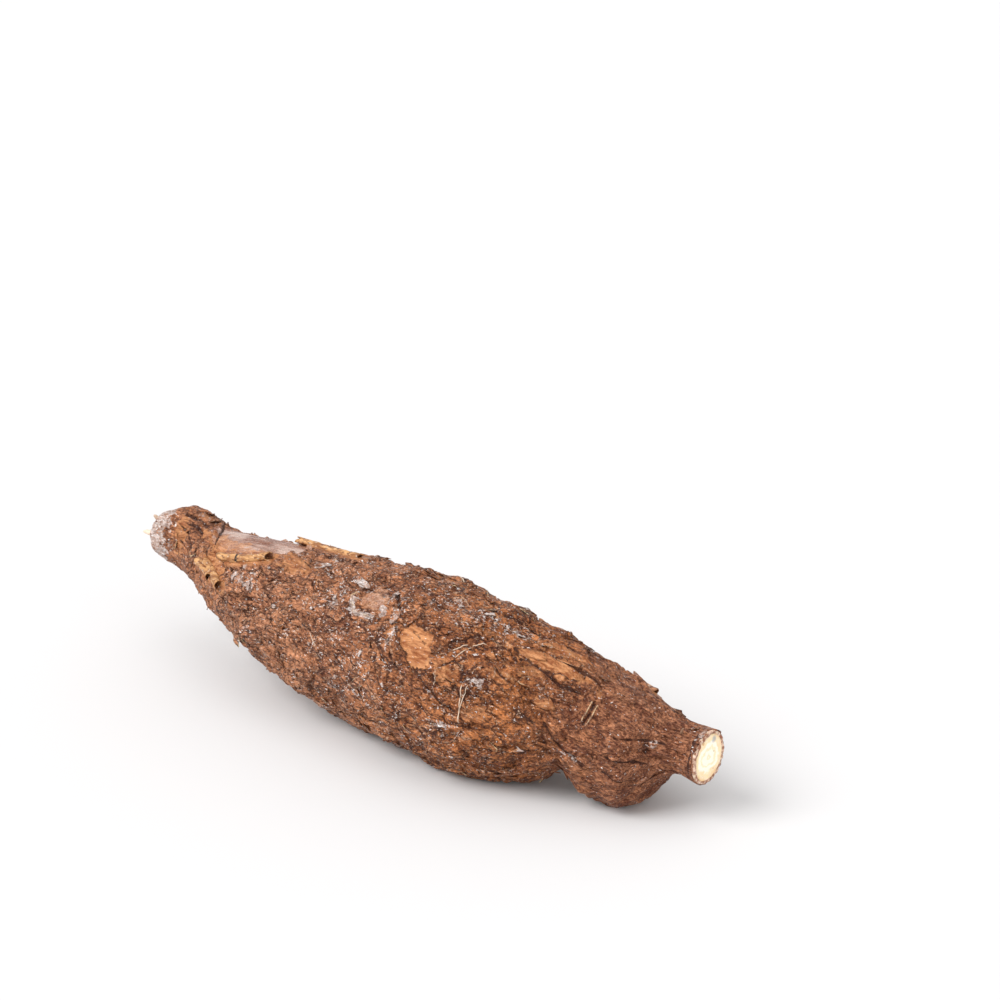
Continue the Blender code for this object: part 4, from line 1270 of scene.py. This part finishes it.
def roll_material():
    """Papery inner side of the bark, tan outside the roll, and painted dark inside it as shade."""
    shader = Shader("rolled_bark")
    streaks = shader.clouds(1.6, 4.0, (4.0, 1.0, 1.0), 0.4)
    crisp = shader.spread(streaks, 0.36, 0.60)
    outside = shader.mix(
        shader.times(shader.mask("brown"), 0.85),
        shader.mix(crisp, *ROLL_OUTSIDE),
        shader.mix(crisp, *ROLL_BARK_SIDE),
    )
    # The inside of each roll is painted dark as its shade.
    colour = shader.mix(shader.mask("inside"), outside, shader.mix(streaks, *SHADED_ROLL_INSIDE))
    marks = shader.spread(shader.clouds(1.3, 3.0, (1.6, 1.0, 1.0)), 0.48, 0.38)
    colour = shader.mix(shader.times(marks, 0.8), colour, ROLL_MARK)
    flecks = shader.spread(shader.clouds(1.1, 2.0, (2.0, 1.0, 1.0)), 0.60, 0.64)
    colour = shader.mix(shader.times(flecks, 0.4), colour, ROLL_FLECK)
    # Painted shade in the split across the roll.
    colour = shader.mix(shader.ragged(shader.mask("split"), 0.40, 0.60, 0.9, 0.9), colour, ROLL_SPLIT_SHADE)
    normal = shader.bump(streaks, 0.5, 0.9)
    return shader.finish(Base_Color=colour, Roughness=0.45, Normal=normal, Specular_IOR_Level=0.3)


def rootlet_material():
    shader = Shader("rootlet")
    grain = shader.clouds(1.2, 3.0)
    brown, cream = shader.mix(grain, *ROOTLET_BROWN), shader.mix(grain, *ROOTLET_CREAM)
    colour = shader.mix(shader.mask("pale"), brown, cream)
    return shader.finish(Base_Color=colour, Roughness=0.5, Normal=shader.bump(grain, 0.3, 0.8))


# Stains on the flesh: angle, share of the way out, radius and colour.
FLESH_SPOTS = [
    (62.0, 0.68, 1.9, (0.30, 0.33, 0.38)),
    (20.0, 0.35, 0.45, (0.25, 0.10, 0.03)),
    (118.0, 0.72, 0.9, (0.62, 0.38, 0.16)),
    (300.0, 0.62, 0.4, (0.40, 0.20, 0.08)),
]


def flesh_material():
    """Starchy flesh: cream, with yellow growth rings and a few brown specks."""
    shader = Shader("flesh")

    def place_on_cut(out, angle, share):
        return tuple(trunk_points(np.array([NECK.x + out]), np.array([angle]), share)[0] - ROOT_MIDDLE)

    from_axis = shader.vectors("SUBTRACT", shader.place, place_on_cut(0.0, 0.0, 0.0))
    away = shader.vectors("LENGTH", shader.vectors("MULTIPLY", from_axis, (0.0, 1.0, 1.0)))
    away = shader.plus(away, shader.spread(shader.clouds(5.0), 0.3, 0.7, -1.6, 1.6))
    rings = shader.spread(shader.maths("SINE", shader.times(away, 1.9)), 0.0, 1.0, 0.0, 0.65)
    colour = shader.mix(rings, FLESH, GROWTH_RING)
    colour = shader.mix(shader.times(shader.spread(away, 6.4, 9.6), 0.85), colour, FLESH_BY_RIND)
    for angle, share, radius, tint in FLESH_SPOTS:
        gap = shader.vectors("DISTANCE", shader.place, place_on_cut(FLESH_OUT, angle, share))
        colour = shader.mix(shader.times(shader.spread(gap, radius, 0.4 * radius), 0.7), colour, tint)
    normal = shader.bump(shader.clouds(0.5, 3.0), 0.15, 0.6)
    return shader.finish(
        Base_Color=colour, Roughness=0.45, Subsurface_Weight=0.15, Subsurface_Scale=0.002, Normal=normal,
    )


def rind_material():
    shader = Shader("rind")
    colour = shader.mix(shader.spread(shader.clouds(1.7, 4.0), 0.44, 0.60), *RIND)
    normal = shader.bump(shader.clouds(0.8, 3.0), 0.3, 0.8)
    return shader.finish(
        Base_Color=colour, Roughness=0.45, Subsurface_Weight=0.1, Subsurface_Scale=0.002, Normal=normal,
    )


# Camera, floor and light. Azimuths and elevations are in degrees, and say where a camera or light looks from.
CAMERA_PLACE = Vector((0.68949, -0.80787, 0.4911))
CAMERA_AZIMUTH, CAMERA_ELEVATION = 38.0, 20.0
LENS, SENSOR = 96.28, 36.0
FLOOR_HALF_SIZE = 8.0  # metres
FLOOR_COLOUR = (0.69, 0.685, 0.69, 1.0)
BACKDROP_COLOUR = (0.965, 0.965, 0.965, 1.0)
STUDIO_COLOUR, STUDIO_STRENGTH = (1.0, 0.99, 0.98, 1.0), 0.80
Light = namedtuple("Light", "name strength width azimuth elevation")
LIGHTS = [
    Light("key", 2.20, 36.0, -24.0, 44.0),
    Light("top", 0.40, 60.0, 10.0, 80.0),
    Light("fill", 0.74, 60.0, 62.0, 22.0),
]


def aimed_object(name, data, azimuth, elevation):
    """A camera or light that looks from that azimuth and elevation to the middle of things."""
    made = bpy.data.objects.new(name, data)
    a, e = math.radians(azimuth), math.radians(elevation)
    back = Vector((math.sin(a) * math.cos(e), -math.cos(a) * math.cos(e), math.sin(e)))
    made.rotation_mode = "QUATERNION"
    made.rotation_quaternion = (-back).to_track_quat("-Z", "Y")
    bpy.context.scene.collection.objects.link(made)
    return made


def make_camera():
    data = bpy.data.cameras.new("photo_camera")
    data.lens, data.sensor_width = LENS, SENSOR
    camera = aimed_object("photo_camera", data, CAMERA_AZIMUTH, CAMERA_ELEVATION)
    camera.location = CAMERA_PLACE
    bpy.context.scene.camera = camera


def make_floor():
    bm = bmesh.new()
    bmesh.ops.create_grid(bm, x_segments=1, y_segments=1, size=FLOOR_HALF_SIZE)
    mesh = bpy.data.meshes.new("floor")
    bm.to_mesh(mesh)
    bm.free()
    floor = bpy.data.objects.new("floor", mesh)
    bpy.context.scene.collection.objects.link(floor)
    shader = Shader("floor")
    mesh.materials.append(shader.finish(Base_Color=FLOOR_COLOUR, Roughness=0.8, Specular_IOR_Level=0.2))


def make_world():
    """A pale surround, which the camera sees brighter than it lights the root."""
    world = bpy.data.worlds.new("studio")
    world.use_nodes = True
    tree = world.node_tree
    seen = tree.nodes["Background"]
    seen.inputs["Color"].default_value = BACKDROP_COLOUR
    lit = tree.nodes.new("ShaderNodeBackground")
    lit.inputs["Color"].default_value = STUDIO_COLOUR
    lit.inputs["Strength"].default_value = STUDIO_STRENGTH
    path = tree.nodes.new("ShaderNodeLightPath")
    choose = tree.nodes.new("ShaderNodeMixShader")
    tree.links.new(path.outputs["Is Camera Ray"], choose.inputs[0])
    tree.links.new(lit.outputs[0], choose.inputs[1])
    tree.links.new(seen.outputs[0], choose.inputs[2])
    tree.links.new(choose.outputs[0], tree.nodes["World Output"].inputs["Surface"])
    bpy.context.scene.world = world


def make_lights():
    """Three wide soft lights: the key from high on the left, one from above and a fill from the right."""
    for light in LIGHTS:
        data = bpy.data.lights.new(light.name, "SUN")
        data.energy = light.strength
        data.angle = math.radians(light.width)
        aimed_object(light.name, data, light.azimuth, light.elevation)


noise.seed_set(SEED)
bark = bark_material()
make_skin(bark)
make_flakes("bark_flakes_tip_half", bark, TIP.x + 4.0, FLAKES_MEET, TIP_FLAKES, SEED)
make_flakes("bark_flakes_neck_half", bark, FLAKES_MEET, NECK.x - 8.0, NECK_FLAKES, SEED + 1)
make_rolls(roll_material())
fibre = rootlet_material()
make_rootlets(fibre)
make_fibres(fibre)
make_cut(flesh_material(), rind_material())
make_floor()
make_world()
make_lights()
make_camera()
bpy.context.scene.view_settings.view_transform = "Standard"
